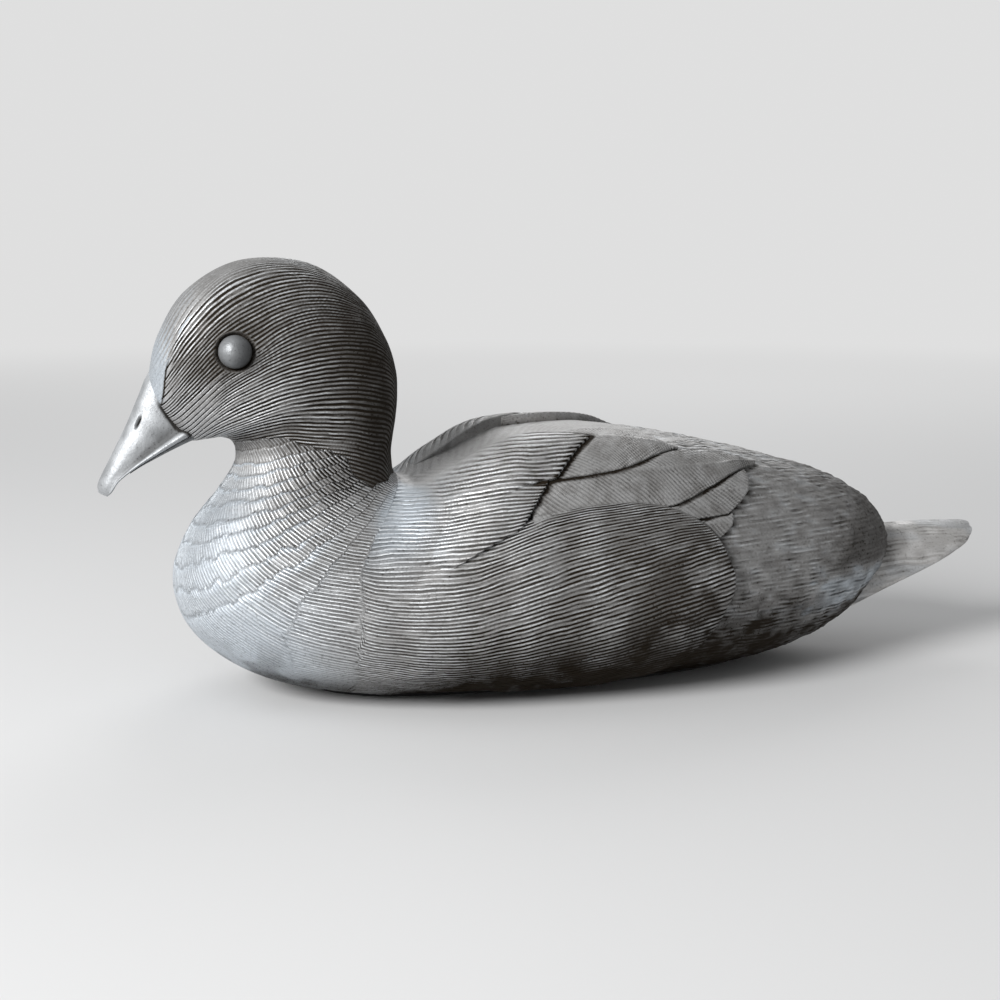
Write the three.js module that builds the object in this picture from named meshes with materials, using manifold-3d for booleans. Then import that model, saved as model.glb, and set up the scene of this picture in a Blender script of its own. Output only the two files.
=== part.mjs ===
import * as THREE from 'three';
import { mergeVertices } from 'three/addons/utils/BufferGeometryUtils.js';
import Module from 'manifold-3d';

const wasm = await Module();
wasm.setup();

// A cast pewter duck at rest on a felt pad.
// Millimetres, +Z up, the bill towards -X and the duck's left side towards -Y.
// The origin is on the table, under the middle of the back.

// Body and head
const BODY_LENGTH = 233; // breast front to rump end
const BACK_HEIGHT = 75; // underside of the casting to the top of the back
const BEAM = 106; // widest across the flanks
const HEAD_LENGTH = 72; // nape to face
const HEAD_RISE = 46.5; // neck joint to crown
const HEAD_WIDTH = 48; // across the cheeks
const ORIGIN_SHARE = 0.4657; // where the origin lies along the body, from the breast
const SHELL_WALL = 3.5; // body casting
const HEAD_WALL = 3; // head casting
const COLLAR_WALL = 5.5; // body wall round the neck's spigot
const SPIGOT_WALL = 3;
const CLEARANCE = 0.3; // between pieces that seat on or in each other

// Feathers that stand up from the skin
const FLANK_LIFT = 2.8;
const SHOULDER_LIFT = 3.6;
const VANE_LIFT = 2.9; // top wing feather
const VANE_STEP = 0.7; // from one wing feather down to the next
const VANE_DEPTH = 0.8; // how far the top wing feather is let in
const VANE_CAMBER = 0.5;
const PLATE_DEPTH = 2.4; // how far the body's own feather plates reach into its wall

// Tail
const TAIL_LENGTH = 56; // tongue end to tip
const TAIL_PAIRS = 3; // of feathers, beside the middle one
const TAIL_PITCH = 5.4; // between neighbouring feathers
const TAIL_FEATHER_WIDTH = 11.5;
const TAIL_THICKNESS = 2.4;
const TAIL_STEP = 0.7; // each pair lies this far under the one inside it
const TAIL_SIDE_LENGTH = 5; // left of the tail's length at its outer edges
const TAIL_SCALLOP = 1.4; // how far each feather's tip is rounded
const TAIL_ARCH = 18; // how far the fan's outer edges droop at its root
const TONGUE_LENGTH = 24;
const TONGUE_WIDTH = 24;
const TONGUE_THICKNESS = 6;

// Bill
const BILL_LENGTH = 39;
const BILL_WIDTH = 19.4;
const LOWER_BILL_THICKNESS = 2.2;
const LOWER_BILL_SHARE = 0.86; // of the upper bill's width
const LOWER_BILL_ROOT = 0.1; // where it starts and ends along the upper one
const LOWER_BILL_TIP = 0.72;
const BILL_PEG_RADIUS = 2.6;
const BILL_PEG_REACH = 6; // into the head
const LOWER_PEG_RADIUS = 0.8;
const LOWER_PEG_REACH = 5;
const NOSTRIL_LENGTH = 4.4;
const NOSTRIL_DEPTH = 1;

// Eyes
const EYE_DIAMETER = 10;
const EYE_BULGE = 4;
const EYE_RECESS = 1.5;
const EYE_RIM = 1; // dark ring round the bead
const EYE_STEM_RADIUS = 1.6;
const EYE_STEM_LENGTH = 4;

// Base
const FELT_THICKNESS = 1.5;
const FELT_MARGIN = 2; // from the edge of the casting's flat underside
const BASE_RIM = 4; // metal left outside the base plate
const BASE_LEDGE = 3.5; // what the plate lies on
const LEDGE_THICKNESS = 2.5;
const PLATE_THICKNESS = 2.5;
const BOSS_RADIUS = 4.5;
const BOSS_HEIGHT = 8;
const SCREW_HEAD_RADIUS = 3;
const SCREW_HEAD_HEIGHT = 1.6;
const SCREW_RADIUS = 1.5;
const SCREW_LENGTH = 9;

// Corners of the round forms
const SKIN_STEPS = 32; // body section
const HEAD_STEPS = 24; // head section
const CAVITY_STEPS = 12; // hollows and spigot
const ROUND_STEPS = 12; // rods and screws
const EYE_STEPS = 18;

const REST_Z = FELT_THICKNESS;
const DEGREE = Math.PI / 180;

// The skin of the duck is one loft along its spine, from the rump through the body, the neck and the head
// to the face. Each section runs from a point on the back to a point on the belly, and the sections fan out
// round the hollow behind the neck.
// Body rows: back along and up, belly along and up, half width, height of the widest point, as shares.
const BODY_STATIONS = [
  [1.000, 0.493, 0.998, 0.420, 0.019, 0.50], // rump tip
  [0.991, 0.567, 0.979, 0.320, 0.208, 0.50],
  [0.957, 0.680, 0.940, 0.207, 0.387, 0.48], // rump
  [0.895, 0.787, 0.886, 0.093, 0.566, 0.46], // hips
  [0.800, 0.873, 0.792, 0.004, 0.736, 0.44],
  [0.689, 0.953, 0.680, -0.033, 0.887, 0.43], // behind the flank feathers
  [0.569, 1.000, 0.560, -0.049, 0.981, 0.43], // middle of the back
  [0.448, 0.967, 0.431, -0.052, 1.000, 0.43],
  [0.363, 0.873, 0.311, -0.047, 0.981, 0.43], // shoulders
  [0.315, 0.820, 0.208, -0.023, 0.934, 0.44],
  [0.298, 0.823, 0.118, 0.040, 0.868, 0.45], // hollow behind the neck
  [0.291, 0.841, 0.054, 0.147, 0.792, 0.46],
  [0.286, 0.871, 0.014, 0.287, 0.708, 0.47],
  [0.285, 0.907, 0.002, 0.467, 0.623, 0.48], // breast
  [0.285, 0.951, 0.024, 0.647, 0.532, 0.49],
  [0.288, 1.009, 0.061, 0.793, 0.453, 0.50],
  [0.292, 1.080, 0.084, 0.907, 0.411, 0.50], // neck joint
];
// Head rows: the same, forward and up from the back of the neck joint.
const HEAD_STATIONS = [
  [-0.008, 0.140, 0.678, -0.148, 0.900, 0.50], // throat
  [-0.003, 0.301, 0.738, -0.105, 0.942, 0.47],
  [0.039, 0.505, 0.793, -0.114, 0.983, 0.45], // nape
  [0.147, 0.763, 0.822, -0.123, 1.000, 0.44],
  [0.356, 0.983, 0.842, -0.127, 0.992, 0.44], // crown
  [0.633, 1.000, 0.856, -0.120, 0.942, 0.45], // brow
  [0.849, 0.817, 0.869, -0.105, 0.817, 0.46],
  [0.964, 0.548, 0.889, -0.080, 0.625, 0.48], // face
  [1.006, 0.312, 0.911, -0.037, 0.408, 0.50], // bill base
  [1.003, 0.204, 0.947, 0.032, 0.208, 0.50],
];
const bodyX = (share) => (share - ORIGIN_SHARE) * BODY_LENGTH;
const bodyZ = (share) => REST_Z + share * BACK_HEIGHT;
const bodyRow = ([backX, backZ, bellyX, bellyZ, half, centre]) => (
  [bodyX(backX), bodyZ(backZ), bodyX(bellyX), bodyZ(bellyZ), half * BEAM / 2, centre]
);
const NECK = BODY_STATIONS.length - 1; // station number of the neck joint
const [neckAlong, neckUp] = BODY_STATIONS[NECK];
const headX = (share) => bodyX(neckAlong) - share * HEAD_LENGTH;
const headZ = (share) => bodyZ(neckUp) + share * HEAD_RISE;
const headRow = ([backX, backZ, bellyX, bellyZ, half, centre]) => (
  [headX(backX), headZ(backZ), headX(bellyX), headZ(bellyZ), half * HEAD_WIDTH / 2, centre]
);
const stations = [...BODY_STATIONS.map(bodyRow), ...HEAD_STATIONS.map(headRow)];
const LAST = stations.length - 1;
const FACE = LAST - 1; // station number of the bill's base
const curve = (points) => new THREE.CatmullRomCurve3(points, false, 'catmullrom');
const backLine = curve(stations.map((s) => new THREE.Vector3(s[0], 0, s[1])));
const bellyLine = curve(stations.map((s) => new THREE.Vector3(s[2], 0, s[3])));
const girth = curve(stations.map((s) => new THREE.Vector3(s[4], s[5], 0)));

// Soft swellings of the skin: station, degrees from the back, spread along and round, rise
const SWELLINGS = [
  [8.2, 36, 1.6, 19, 6.5], // shoulder
  [6.2, 31, 1.7, 17, 3.6], // folded wing
];

function swelling(u, angle) {
  let rise = 0;
  for (const [atU, atDegrees, spreadU, spreadDegrees, height] of SWELLINGS) {
    const along = (u - atU) / spreadU;
    const round = (Math.abs(angle) / DEGREE - atDegrees) / spreadDegrees;
    rise += height * Math.exp(-along * along - round * round);
  }
  return rise;
}

// A point at station u, at an angle from the back (0) down the left side to the belly (PI), raised by lift
function core(u, angle, lift = 0) {
  const share = u / LAST;
  const point = bellyLine.getPoint(share);
  const spine = backLine.getPoint(share).sub(point);
  const depth = spine.length();
  spine.normalize();
  const { x: half, y: centre } = girth.getPoint(share);
  const up = Math.cos(angle);
  const out = Math.sin(angle);
  const reach = (up >= 0 ? 1 - centre : centre) * depth;
  const normal = new THREE.Vector2(up / reach, out / half).normalize();
  point.addScaledVector(spine, centre * depth + reach * up + normal.x * lift);
  point.y = -(half * out + normal.y * lift);
  return point;
}

const skin = (u, angle, lift = 0) => core(u, angle, lift + swelling(u, angle));

function outward(u, angle) {
  const along = skin(u + 0.02, angle).sub(skin(u - 0.02, angle));
  const round = skin(u, angle + 0.02).sub(skin(u, angle - 0.02));
  return along.cross(round).normalize();
}

// Solids from points, all closed
function solid(points, faces) {
  const corner = new THREE.Vector3();
  let volume = 0;
  for (let i = 0; i < faces.length; i += 3) {
    const [a, b, c] = [points[faces[i]], points[faces[i + 1]], points[faces[i + 2]]];
    volume += a.dot(corner.copy(b).cross(c));
  }
  const turned = volume < 0 ? faces.toReversed() : faces;
  const vertProperties = new Float32Array(points.flatMap((p) => [p.x, p.y, p.z]));
  return new wasm.Manifold(new wasm.Mesh({ numProp: 3, vertProperties, triVerts: new Uint32Array(turned) }));
}

function fromGeometry(geometry) {
  geometry.deleteAttribute('normal');
  geometry.deleteAttribute('uv');
  const merged = mergeVertices(geometry);
  const position = merged.getAttribute('position');
  const points = [];
  for (let i = 0; i < position.count; i++) points.push(new THREE.Vector3().fromBufferAttribute(position, i));
  return solid(points, Array.from(merged.index.array));
}

function loft(rings) {
  const count = rings[0].length;
  const points = rings.flat();
  const faces = [];
  for (let i = 0; i + 1 < rings.length; i++) {
    for (let j = 0; j < count; j++) {
      const a = i * count + j;
      const b = i * count + (j + 1) % count;
      faces.push(a, b, b + count, a, b + count, a + count);
    }
  }
  const end = (rings.length - 1) * count;
  const addCap = (first, ring, facing) => {
    const middle = points.length;
    points.push(ring.reduce((sum, p) => sum.add(p), new THREE.Vector3()).divideScalar(count));
    for (let j = 0; j < count; j++) {
      const pair = [first + (j + 1) % count, first + j];
      faces.push(middle, ...(facing ? pair.reverse() : pair));
    }
  };
  addCap(0, rings[0], false);
  addCap(end, rings.at(-1), true);
  return solid(points, faces);
}

// A slab between two grids of points, with walls round its rim
function slab(outer, inner) {
  const rows = outer.length;
  const columns = outer[0].length;
  const under = rows * columns;
  const at = (i, j) => i * columns + j;
  const faces = [];
  for (let i = 0; i + 1 < rows; i++) {
    for (let j = 0; j + 1 < columns; j++) {
      const [a, b, c, d] = [at(i, j), at(i, j + 1), at(i + 1, j + 1), at(i + 1, j)];
      faces.push(a, b, c, a, c, d);
      faces.push(a + under, c + under, b + under, a + under, d + under, c + under);
    }
  }
  const rim = [];
  for (let j = 0; j + 1 < columns; j++) rim.push(at(0, j));
  for (let i = 0; i + 1 < rows; i++) rim.push(at(i, columns - 1));
  for (let j = columns - 1; j > 0; j--) rim.push(at(rows - 1, j));
  for (let i = rows - 1; i > 0; i--) rim.push(at(i, 0));
  rim.forEach((p, k) => {
    const q = rim[(k + 1) % rim.length];
    faces.push(q, p, p + under, q, p + under, q + under);
  });
  return solid([...outer.flat(), ...inner.flat()], faces);
}

// Pushes the rim of a grid of points outwards
function spread(grid, amount) {
  const rows = grid.length;
  const columns = grid[0].length;
  return grid.map((row, i) => row.map((point, j) => {
    const moved = point.clone();
    const away = (from) => moved.addScaledVector(point.clone().sub(from).normalize(), amount);
    if (i === 0) away(grid[1][j]);
    if (i === rows - 1) away(grid[rows - 2][j]);
    if (j === 0) away(row[1]);
    if (j === columns - 1) away(row[columns - 2]);
    return moved;
  }));
}

const join = (first, ...others) => others.reduce((all, one) => all.add(one), first);
const cut = (first, ...others) => others.reduce((left, one) => left.subtract(one), first);

// A ring of the skin's section at station u
function ring(u, lift, count, surface = skin) {
  return Array.from({ length: count }, (_, j) => surface(u, (2 * j / count - 1) * Math.PI, lift));
}

function stepsBetween(from, to, count) {
  return Array.from({ length: count + 1 }, (_, i) => from + (to - from) * i / count);
}

// A rod from one point to another
function rod(from, to, radius) {
  const geometry = new THREE.CylinderGeometry(radius, radius, from.distanceTo(to), ROUND_STEPS);
  const turn = new THREE.Quaternion().setFromUnitVectors(
    new THREE.Vector3(0, 1, 0),
    to.clone().sub(from).normalize(),
  );
  geometry.applyQuaternion(turn);
  geometry.translate(...from.clone().lerp(to, 0.5).toArray());
  return fromGeometry(geometry);
}

// A feather is the strip between two edges drawn on the skin, each a list of [station, degrees from the
// back]. Its front end dives under the skin where fade is more than 0.
function feather({ upper, lower, lift, depth, fade = 0, rows = 8, columns = 4 }, side, grow = 0) {
  const edge = (points) => curve(points.map(([u, degrees]) => new THREE.Vector3(u, degrees, 0)));
  const [upperEdge, lowerEdge] = [edge(upper), edge(lower)];
  const raised = (a, b) => {
    const risen = fade > 0 ? THREE.MathUtils.smoothstep(a, 0, fade) : 1;
    return (lift + 1) * risen - 1 + VANE_CAMBER * Math.sin(Math.PI * b);
  };
  const layer = (height) => stepsBetween(0, 1, rows).map((a) => {
    const [p, q] = [upperEdge.getPoint(a), lowerEdge.getPoint(a)];
    return stepsBetween(0, 1, columns).map((b) => {
      const place = p.clone().lerp(q, b);
      return skin(place.x, side * place.y * DEGREE, height(a, b));
    });
  });
  const outer = layer((a, b) => raised(a, b) + grow);
  const inner = layer(() => -depth - grow);
  return slab(spread(outer, grow), spread(inner, grow));
}

const SHOULDER_PLATES = [
  {
    upper: [[9.4, 16], [8.2, 15], [7.2, 19], [6.40, 30]],
    lower: [[9.0, 52], [8.0, 49], [7.4, 46], [6.88, 44.5]],
    lift: SHOULDER_LIFT, depth: PLATE_DEPTH, fade: 0.7, rows: 9,
  },
  {
    upper: [[9.2, 47], [8.2, 45], [7.4, 43], [6.86, 42]],
    lower: [[9.2, 70], [8.4, 66], [7.8, 61], [7.36, 58]],
    lift: SHOULDER_LIFT - VANE_STEP, depth: PLATE_DEPTH + CLEARANCE, fade: 0.7, rows: 8,
  },
];
const FLANK_PLATE = {
  upper: [[10.3, 68], [9.0, 62], [7.9, 58], [6.9, 54.5], [6.1, 54], [5.55, 57.5], [5.2, 66], [4.98, 81]],
  lower: [[10.1, 122], [9.0, 130], [8.0, 136], [7.0, 139], [6.2, 139], [5.66, 130], [5.28, 111], [4.98, 87]],
  lift: FLANK_LIFT, depth: PLATE_DEPTH - CLEARANCE, fade: 0.5, rows: 12, columns: 5,
};
// From the top feather down
const WING_VANES = [
  { upper: [[7.3, 24], [6.3, 22], [5.44, 31]], lower: [[7.3, 45], [6.43, 44], [6.0, 41], [5.5, 33]] },
  {
    upper: [[7.2, 34], [5.8, 33], [4.9, 30], [4.34, 27]],
    lower: [[7.2, 58], [5.9, 57], [5.2, 48], [4.36, 29]],
  },
  { upper: [[6.5, 48], [5.4, 42], [4.58, 35]], lower: [[6.5, 64], [5.6, 61], [4.97, 57]] },
  { upper: [[6.5, 56], [5.6, 54], [4.93, 53]], lower: [[6.5, 72], [5.8, 71], [5.22, 69]] },
].map((vane, k) => ({ ...vane, lift: VANE_LIFT - k * VANE_STEP, depth: VANE_DEPTH + k * CLEARANCE }));

const feathers = (list, side, grow = 0) => join(...list.map((one) => feather(one, side, grow)));

// The casting's flat underside: where the skin meets the rest plane, drawn in by an inset
const SIDES = [1, -1]; // left, right
const FOOT_STEPS = 14;

function crossing(above, below) {
  let [high, low] = [above, below];
  for (let i = 0; i < 40; i++) {
    const middle = (high + low) / 2;
    if (bellyLine.getPoint(middle / LAST).z > REST_Z) high = middle;
    else low = middle;
  }
  return (high + low) / 2;
}

function contact(u) {
  const share = u / LAST;
  const [belly, back] = [bellyLine.getPoint(share), backLine.getPoint(share)];
  const { x: half, y: centre } = girth.getPoint(share);
  const height = Math.max(0, (REST_Z - belly.z) / (back.z - belly.z));
  const up = 1 - height / centre;
  return new THREE.Vector2(belly.x + (back.x - belly.x) * height, half * Math.sqrt(Math.max(0, 1 - up * up)));
}

const [footRear, footFront] = [crossing(3, 6), crossing(11, 8)];
const footLine = stepsBetween(0, Math.PI, FOOT_STEPS).map((angle) => (
  contact((footRear + footFront) / 2 - (footFront - footRear) / 2 * Math.cos(angle))
));
const footEnds = { rear: footLine[0].x, front: footLine.at(-1).x };
const footCentre = (footEnds.rear + footEnds.front) / 2;
const footHalfLength = (footEnds.rear - footEnds.front) / 2;
const footHalfWidth = Math.max(...footLine.map((p) => p.y));

function footprint(inset, bottom, top) {
  const along = (footHalfLength - inset) / footHalfLength;
  const across = (footHalfWidth - inset) / footHalfWidth;
  const half = footLine.map((p) => new THREE.Vector2(footCentre + (p.x - footCentre) * along, p.y * across));
  const mirrored = half.slice(1, -1).reverse().map((p) => new THREE.Vector2(p.x, -p.y));
  const shape = new THREE.Shape([...half, ...mirrored]);
  const geometry = new THREE.ExtrudeGeometry(shape, { depth: top - bottom, bevelEnabled: false });
  geometry.translate(0, 0, bottom);
  return fromGeometry(geometry);
}

// Base: plate, felt and screws
const PLATE_TOP = REST_Z + PLATE_THICKNESS;
const SEAT_Z = PLATE_TOP + CLEARANCE;
const screwInset = BASE_RIM + BASE_LEDGE + BOSS_RADIUS * 0.4;
const screwSpots = [
  new THREE.Vector3(footEnds.front + screwInset, 0, REST_Z),
  new THREE.Vector3(footCentre, -(footHalfWidth - screwInset), REST_Z),
  new THREE.Vector3(footEnds.rear - screwInset, 0, REST_Z),
  new THREE.Vector3(footCentre, footHalfWidth - screwInset, REST_Z),
];

function lathe(profile, steps) {
  return new THREE.LatheGeometry(profile.map(([r, h]) => new THREE.Vector2(r, h)), steps);
}

function screwProfile(grow) {
  const [head, shank] = [SCREW_HEAD_RADIUS + grow, SCREW_RADIUS + grow];
  return [
    [0, grow > 0 ? -grow : CLEARANCE], [head, grow > 0 ? -grow : CLEARANCE], [head, CLEARANCE + 0.2],
    [shank, SCREW_HEAD_HEIGHT + CLEARANCE], [shank, SCREW_LENGTH + grow], [0, SCREW_LENGTH + grow],
  ];
}

const screwGeometry = () => lathe(screwProfile(0), ROUND_STEPS).rotateX(Math.PI / 2);
const screwBores = () => screwSpots.map((spot) => (
  fromGeometry(lathe(screwProfile(CLEARANCE), ROUND_STEPS).rotateX(Math.PI / 2).translate(...spot.toArray()))
));

const makeBasePlate = () => cut(footprint(BASE_RIM + CLEARANCE, REST_Z, PLATE_TOP), ...screwBores());
const makeFeltPad = () => footprint(FELT_MARGIN, 0, FELT_THICKNESS);

// Tail fan: feathers laid in pairs under the middle one, on a tongue that goes into the rump
const tailRootX = bodyX(1) - TONGUE_LENGTH;
const tailTipX = tailRootX + TAIL_LENGTH;
const tailLine = curve([
  new THREE.Vector3(tailRootX, 0, bodyZ(0.475)),
  new THREE.Vector3(tailRootX + 0.33 * TAIL_LENGTH, 0, bodyZ(0.508)),
  new THREE.Vector3(tailRootX + 0.67 * TAIL_LENGTH, 0, bodyZ(0.52)),
  new THREE.Vector3(tailTipX, 0, bodyZ(0.515)),
]);
const tailZ = (x) => tailLine.getPoint(THREE.MathUtils.clamp((x - tailRootX) / TAIL_LENGTH, 0, 1)).z;
const tailHalfSpan = TAIL_PAIRS * TAIL_PITCH + TAIL_FEATHER_WIDTH / 2;
const tailSag = TAIL_ARCH / tailHalfSpan ** 2;

// A point of the fan, raised square to its arch
function tailPoint(x, y, rise) {
  const normal = new THREE.Vector3(0, 2 * tailSag * y, 1).normalize();
  return new THREE.Vector3(x, y, tailZ(x) - tailSag * y * y).addScaledVector(normal, rise);
}

// Parallel feathers, each one's tip cut back along the wedge that the fan makes
function tailFeather(number, grow) {
  const drop = Math.abs(number) * TAIL_STEP;
  const layer = (height) => stepsBetween(0, 1, 5).map((a) => stepsBetween(-1, 1, 3).map((b) => {
    const y = number * TAIL_PITCH + b * TAIL_FEATHER_WIDTH / 2;
    const cutBack = (TAIL_LENGTH - TAIL_SIDE_LENGTH) * Math.abs(y / tailHalfSpan) ** 3;
    const length = TAIL_LENGTH - cutBack - TAIL_SCALLOP * b * b;
    return tailPoint(tailRootX + a * length, y, height(a, b) - drop);
  }));
  const outer = layer((a, b) => TAIL_THICKNESS / 2 * (1 - 0.4 * a) - 0.5 * b * b + grow);
  const inner = layer((a) => -TAIL_THICKNESS / 2 * (1 - 0.4 * a) - 0.1 * Math.abs(number) - grow);
  return slab(spread(outer, grow), spread(inner, grow));
}

function tailTongue(grow) {
  const layer = (height) => stepsBetween(tailRootX, tailRootX + 0.7 * TONGUE_LENGTH, 3).map((x) => (
    stepsBetween(-1, 1, 4).map((b) => tailPoint(x, b * TONGUE_WIDTH / 2, height - TAIL_STEP))
  ));
  const reach = TONGUE_THICKNESS / 2 + grow;
  return slab(spread(layer(reach), grow), spread(layer(-reach), grow));
}

const makeTail = (grow = 0) => join(
  tailTongue(grow),
  ...Array.from({ length: 2 * TAIL_PAIRS + 1 }, (_, k) => tailFeather(k - TAIL_PAIRS, grow)),
);

// Body: skin, feather plates, cavity, collar for the neck, ledge and bosses for the base plate
const CAVITY_REAR = 3.4; // station where the body's cavity begins
const COLLAR_START = 14.5; // station where the collar begins

function bodyCavity() {
  const rings = [
    ...stepsBetween(CAVITY_REAR, COLLAR_START - 0.3, 10).map((u) => ring(u, -SHELL_WALL, CAVITY_STEPS, core)),
    ...stepsBetween(COLLAR_START, NECK + 0.4, 3).map((u) => ring(u, -COLLAR_WALL, CAVITY_STEPS, core)),
  ];
  return loft(rings);
}

function baseLedge() {
  const ledge = footprint(BASE_RIM / 4, REST_Z, SEAT_Z + LEDGE_THICKNESS);
  return cut(ledge, footprint(BASE_RIM + BASE_LEDGE, REST_Z - 1, SEAT_Z + LEDGE_THICKNESS + 1));
}

function belowRest() {
  const size = 2 * BODY_LENGTH;
  const geometry = new THREE.BoxGeometry(size, size, size);
  geometry.translate(0, 0, REST_Z - size / 2);
  return fromGeometry(geometry);
}

const makeWing = (side, grow = 0) => feathers(WING_VANES, side, grow);

function makeBody() {
  const outer = loft(stepsBetween(0, NECK, 30).map((u) => ring(u, 0, SKIN_STEPS)));
  const socketed = cut(outer, ...SIDES.map((side) => makeWing(side, CLEARANCE)));
  const plates = SIDES.flatMap((side) => [feathers(SHOULDER_PLATES, side), feather(FLANK_PLATE, side)]);
  const opening = footprint(BASE_RIM + BASE_LEDGE, REST_Z - 1, REST_Z + 3 * SHELL_WALL);
  const hollow = cut(join(socketed, ...plates), bodyCavity(), opening, belowRest());
  const bosses = screwSpots.map((spot) => rod(
    new THREE.Vector3(spot.x, spot.y, SEAT_Z),
    new THREE.Vector3(spot.x, spot.y, SEAT_Z + BOSS_HEIGHT),
    BOSS_RADIUS,
  ));
  const rebate = footprint(BASE_RIM, REST_Z - 1, SEAT_Z);
  return cut(join(cut(join(hollow, baseLedge()), rebate), ...bosses), ...screwBores(), makeTail(CLEARANCE));
}

// A wing tucks under the shoulder feathers and behind the flank
function fittedWing(side) {
  const over = [feathers(SHOULDER_PLATES, side, CLEARANCE), feather(FLANK_PLATE, side, CLEARANCE)];
  return cut(makeWing(side), ...over);
}

// Bill rows: ridge forward and up, lip forward and up from the base of the ridge, half width, as shares
const BILL_STATIONS = [
  [-0.136, 0.077, -0.392, -0.423, 0.88], // inside the head
  [0.000, 0.000, -0.277, -0.462, 0.99],
  [0.092, -0.192, -0.144, -0.533, 0.95],
  [0.179, -0.385, -0.005, -0.615, 0.86],
  [0.277, -0.577, 0.133, -0.703, 0.75],
  [0.359, -0.731, 0.249, -0.795, 0.65],
  [0.405, -0.831, 0.328, -0.872, 0.51],
  [0.405, -0.892, 0.369, -0.908, 0.25], // tip
];
// Down the side of the bill from its ridge: depth, then half width near the head and near the tip, as shares
const BILL_SIDE = [
  [0, 0, 0], [0.07, 0.3, 0.4], [0.22, 0.5, 0.66], [0.45, 0.62, 0.84],
  [0.7, 0.66, 0.94], [0.86, 0.84, 0.99], [0.94, 1, 1], [1, 0.95, 0.94],
];
const ridgeBase = skin(FACE, 0);
const billCurve = (column) => curve(BILL_STATIONS.map((s) => new THREE.Vector3(
  ridgeBase.x - s[column] * BILL_LENGTH,
  0,
  ridgeBase.z + s[column + 1] * BILL_LENGTH,
)));
const ridgeLine = billCurve(0);
const lipLine = billCurve(2);
const billWidth = curve(BILL_STATIONS.map((s) => new THREE.Vector3(s[4] * BILL_WIDTH / 2, 0, 0)));

function billRing(t) {
  const [ridge, lip, half] = [ridgeLine.getPoint(t), lipLine.getPoint(t), billWidth.getPoint(t).x];
  const sidePoint = ([depth, near, far], side) => {
    const point = ridge.clone().lerp(lip, depth);
    point.y = side * half * THREE.MathUtils.lerp(near, far, t);
    return point;
  };
  const down = BILL_SIDE.slice(1).map((row) => sidePoint(row, -1));
  const palate = ridge.clone().lerp(lip, 0.9);
  const back = BILL_SIDE.slice(1).reverse().map((row) => sidePoint(row, 1));
  return [ridge, ...down, palate, ...back];
}

// A point of the lower bill: along it, across it from -1 to 1, and down through its thickness from 0 to 1
function lowerBillPoint(t, across, low) {
  const lip = lipLine.getPoint(t);
  const down = lip.clone().sub(ridgeLine.getPoint(t)).normalize();
  lip.addScaledVector(down, CLEARANCE + low * LOWER_BILL_THICKNESS * (1 - 0.5 * t));
  lip.y = across * LOWER_BILL_SHARE * billWidth.getPoint(t).x;
  return lip;
}

const LOWER_BILL_OUTLINE = [[-1, 0], [-0.8, 0.7], [0, 1], [0.8, 0.7], [1, 0], [0, 0]];
const lowerBillRing = (t) => LOWER_BILL_OUTLINE.map(([across, low]) => lowerBillPoint(t, across, low));
const lowerBillMiddle = (t) => lowerBillPoint(t, 0, 0.5);

const headForm = (lift) => loft(stepsBetween(NECK + 4, LAST, 20).map((u) => ring(u, lift, HEAD_STEPS)));

// The bills' pegs stand on the head's face and chin and go into it
const faceMiddle = core(FACE, 0).lerp(core(FACE, Math.PI), 0.5);
const faceInward = core(FACE - 1, 0).lerp(core(FACE - 1, Math.PI), 0.5).sub(faceMiddle).normalize();
const pegEnd = (from, direction, reach) => from.clone().addScaledVector(direction, reach);
const upperPeg = (grow) => rod(
  pegEnd(faceMiddle, faceInward, -4),
  pegEnd(faceMiddle, faceInward, BILL_PEG_REACH + grow),
  BILL_PEG_RADIUS + grow,
);
const chin = lowerBillMiddle(LOWER_BILL_ROOT);
const chinInward = chin.clone().sub(lowerBillMiddle(2 * LOWER_BILL_ROOT)).normalize();
const lowerPeg = (grow) => rod(
  pegEnd(chin, chinInward, -LOWER_PEG_REACH),
  pegEnd(chin, chinInward, LOWER_PEG_REACH + grow),
  LOWER_PEG_RADIUS + grow,
);

function nostril(side) {
  const [ridge, lip] = [ridgeLine.getPoint(0.45), lipLine.getPoint(0.45)];
  const middle = ridge.clone().lerp(lip, 0.3);
  middle.y = -side * 0.56 * billWidth.getPoint(0.45).x;
  const slope = ridgeLine.getPoint(0.5).sub(ridgeLine.getPoint(0.4)).normalize();
  const geometry = new THREE.SphereGeometry(1, 8, 6);
  geometry.scale(NOSTRIL_LENGTH / 2, NOSTRIL_DEPTH, NOSTRIL_DEPTH);
  geometry.applyQuaternion(new THREE.Quaternion().setFromUnitVectors(new THREE.Vector3(1, 0, 0), slope));
  geometry.translate(...middle.toArray());
  return fromGeometry(geometry);
}

function makeUpperBill() {
  const bill = loft(stepsBetween(0, 1, 12).map(billRing));
  return join(cut(bill, headForm(CLEARANCE), ...SIDES.map(nostril)), upperPeg(0));
}

function makeLowerBill() {
  const bill = loft(stepsBetween(LOWER_BILL_ROOT, LOWER_BILL_TIP, 10).map(lowerBillRing));
  return join(cut(bill, headForm(CLEARANCE)), lowerPeg(0));
}

// Eyes: a bead with a stem, in a recess of the head
const EYE_STATION = 21.65;
const EYE_ANGLE = 83 * DEGREE;

function eyePlace(side) {
  const direction = outward(EYE_STATION, side * EYE_ANGLE);
  const seat = skin(EYE_STATION, side * EYE_ANGLE).addScaledVector(direction, -EYE_RECESS);
  const turn = new THREE.Quaternion().setFromUnitVectors(new THREE.Vector3(0, 1, 0), direction);
  return { seat, turn };
}

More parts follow.
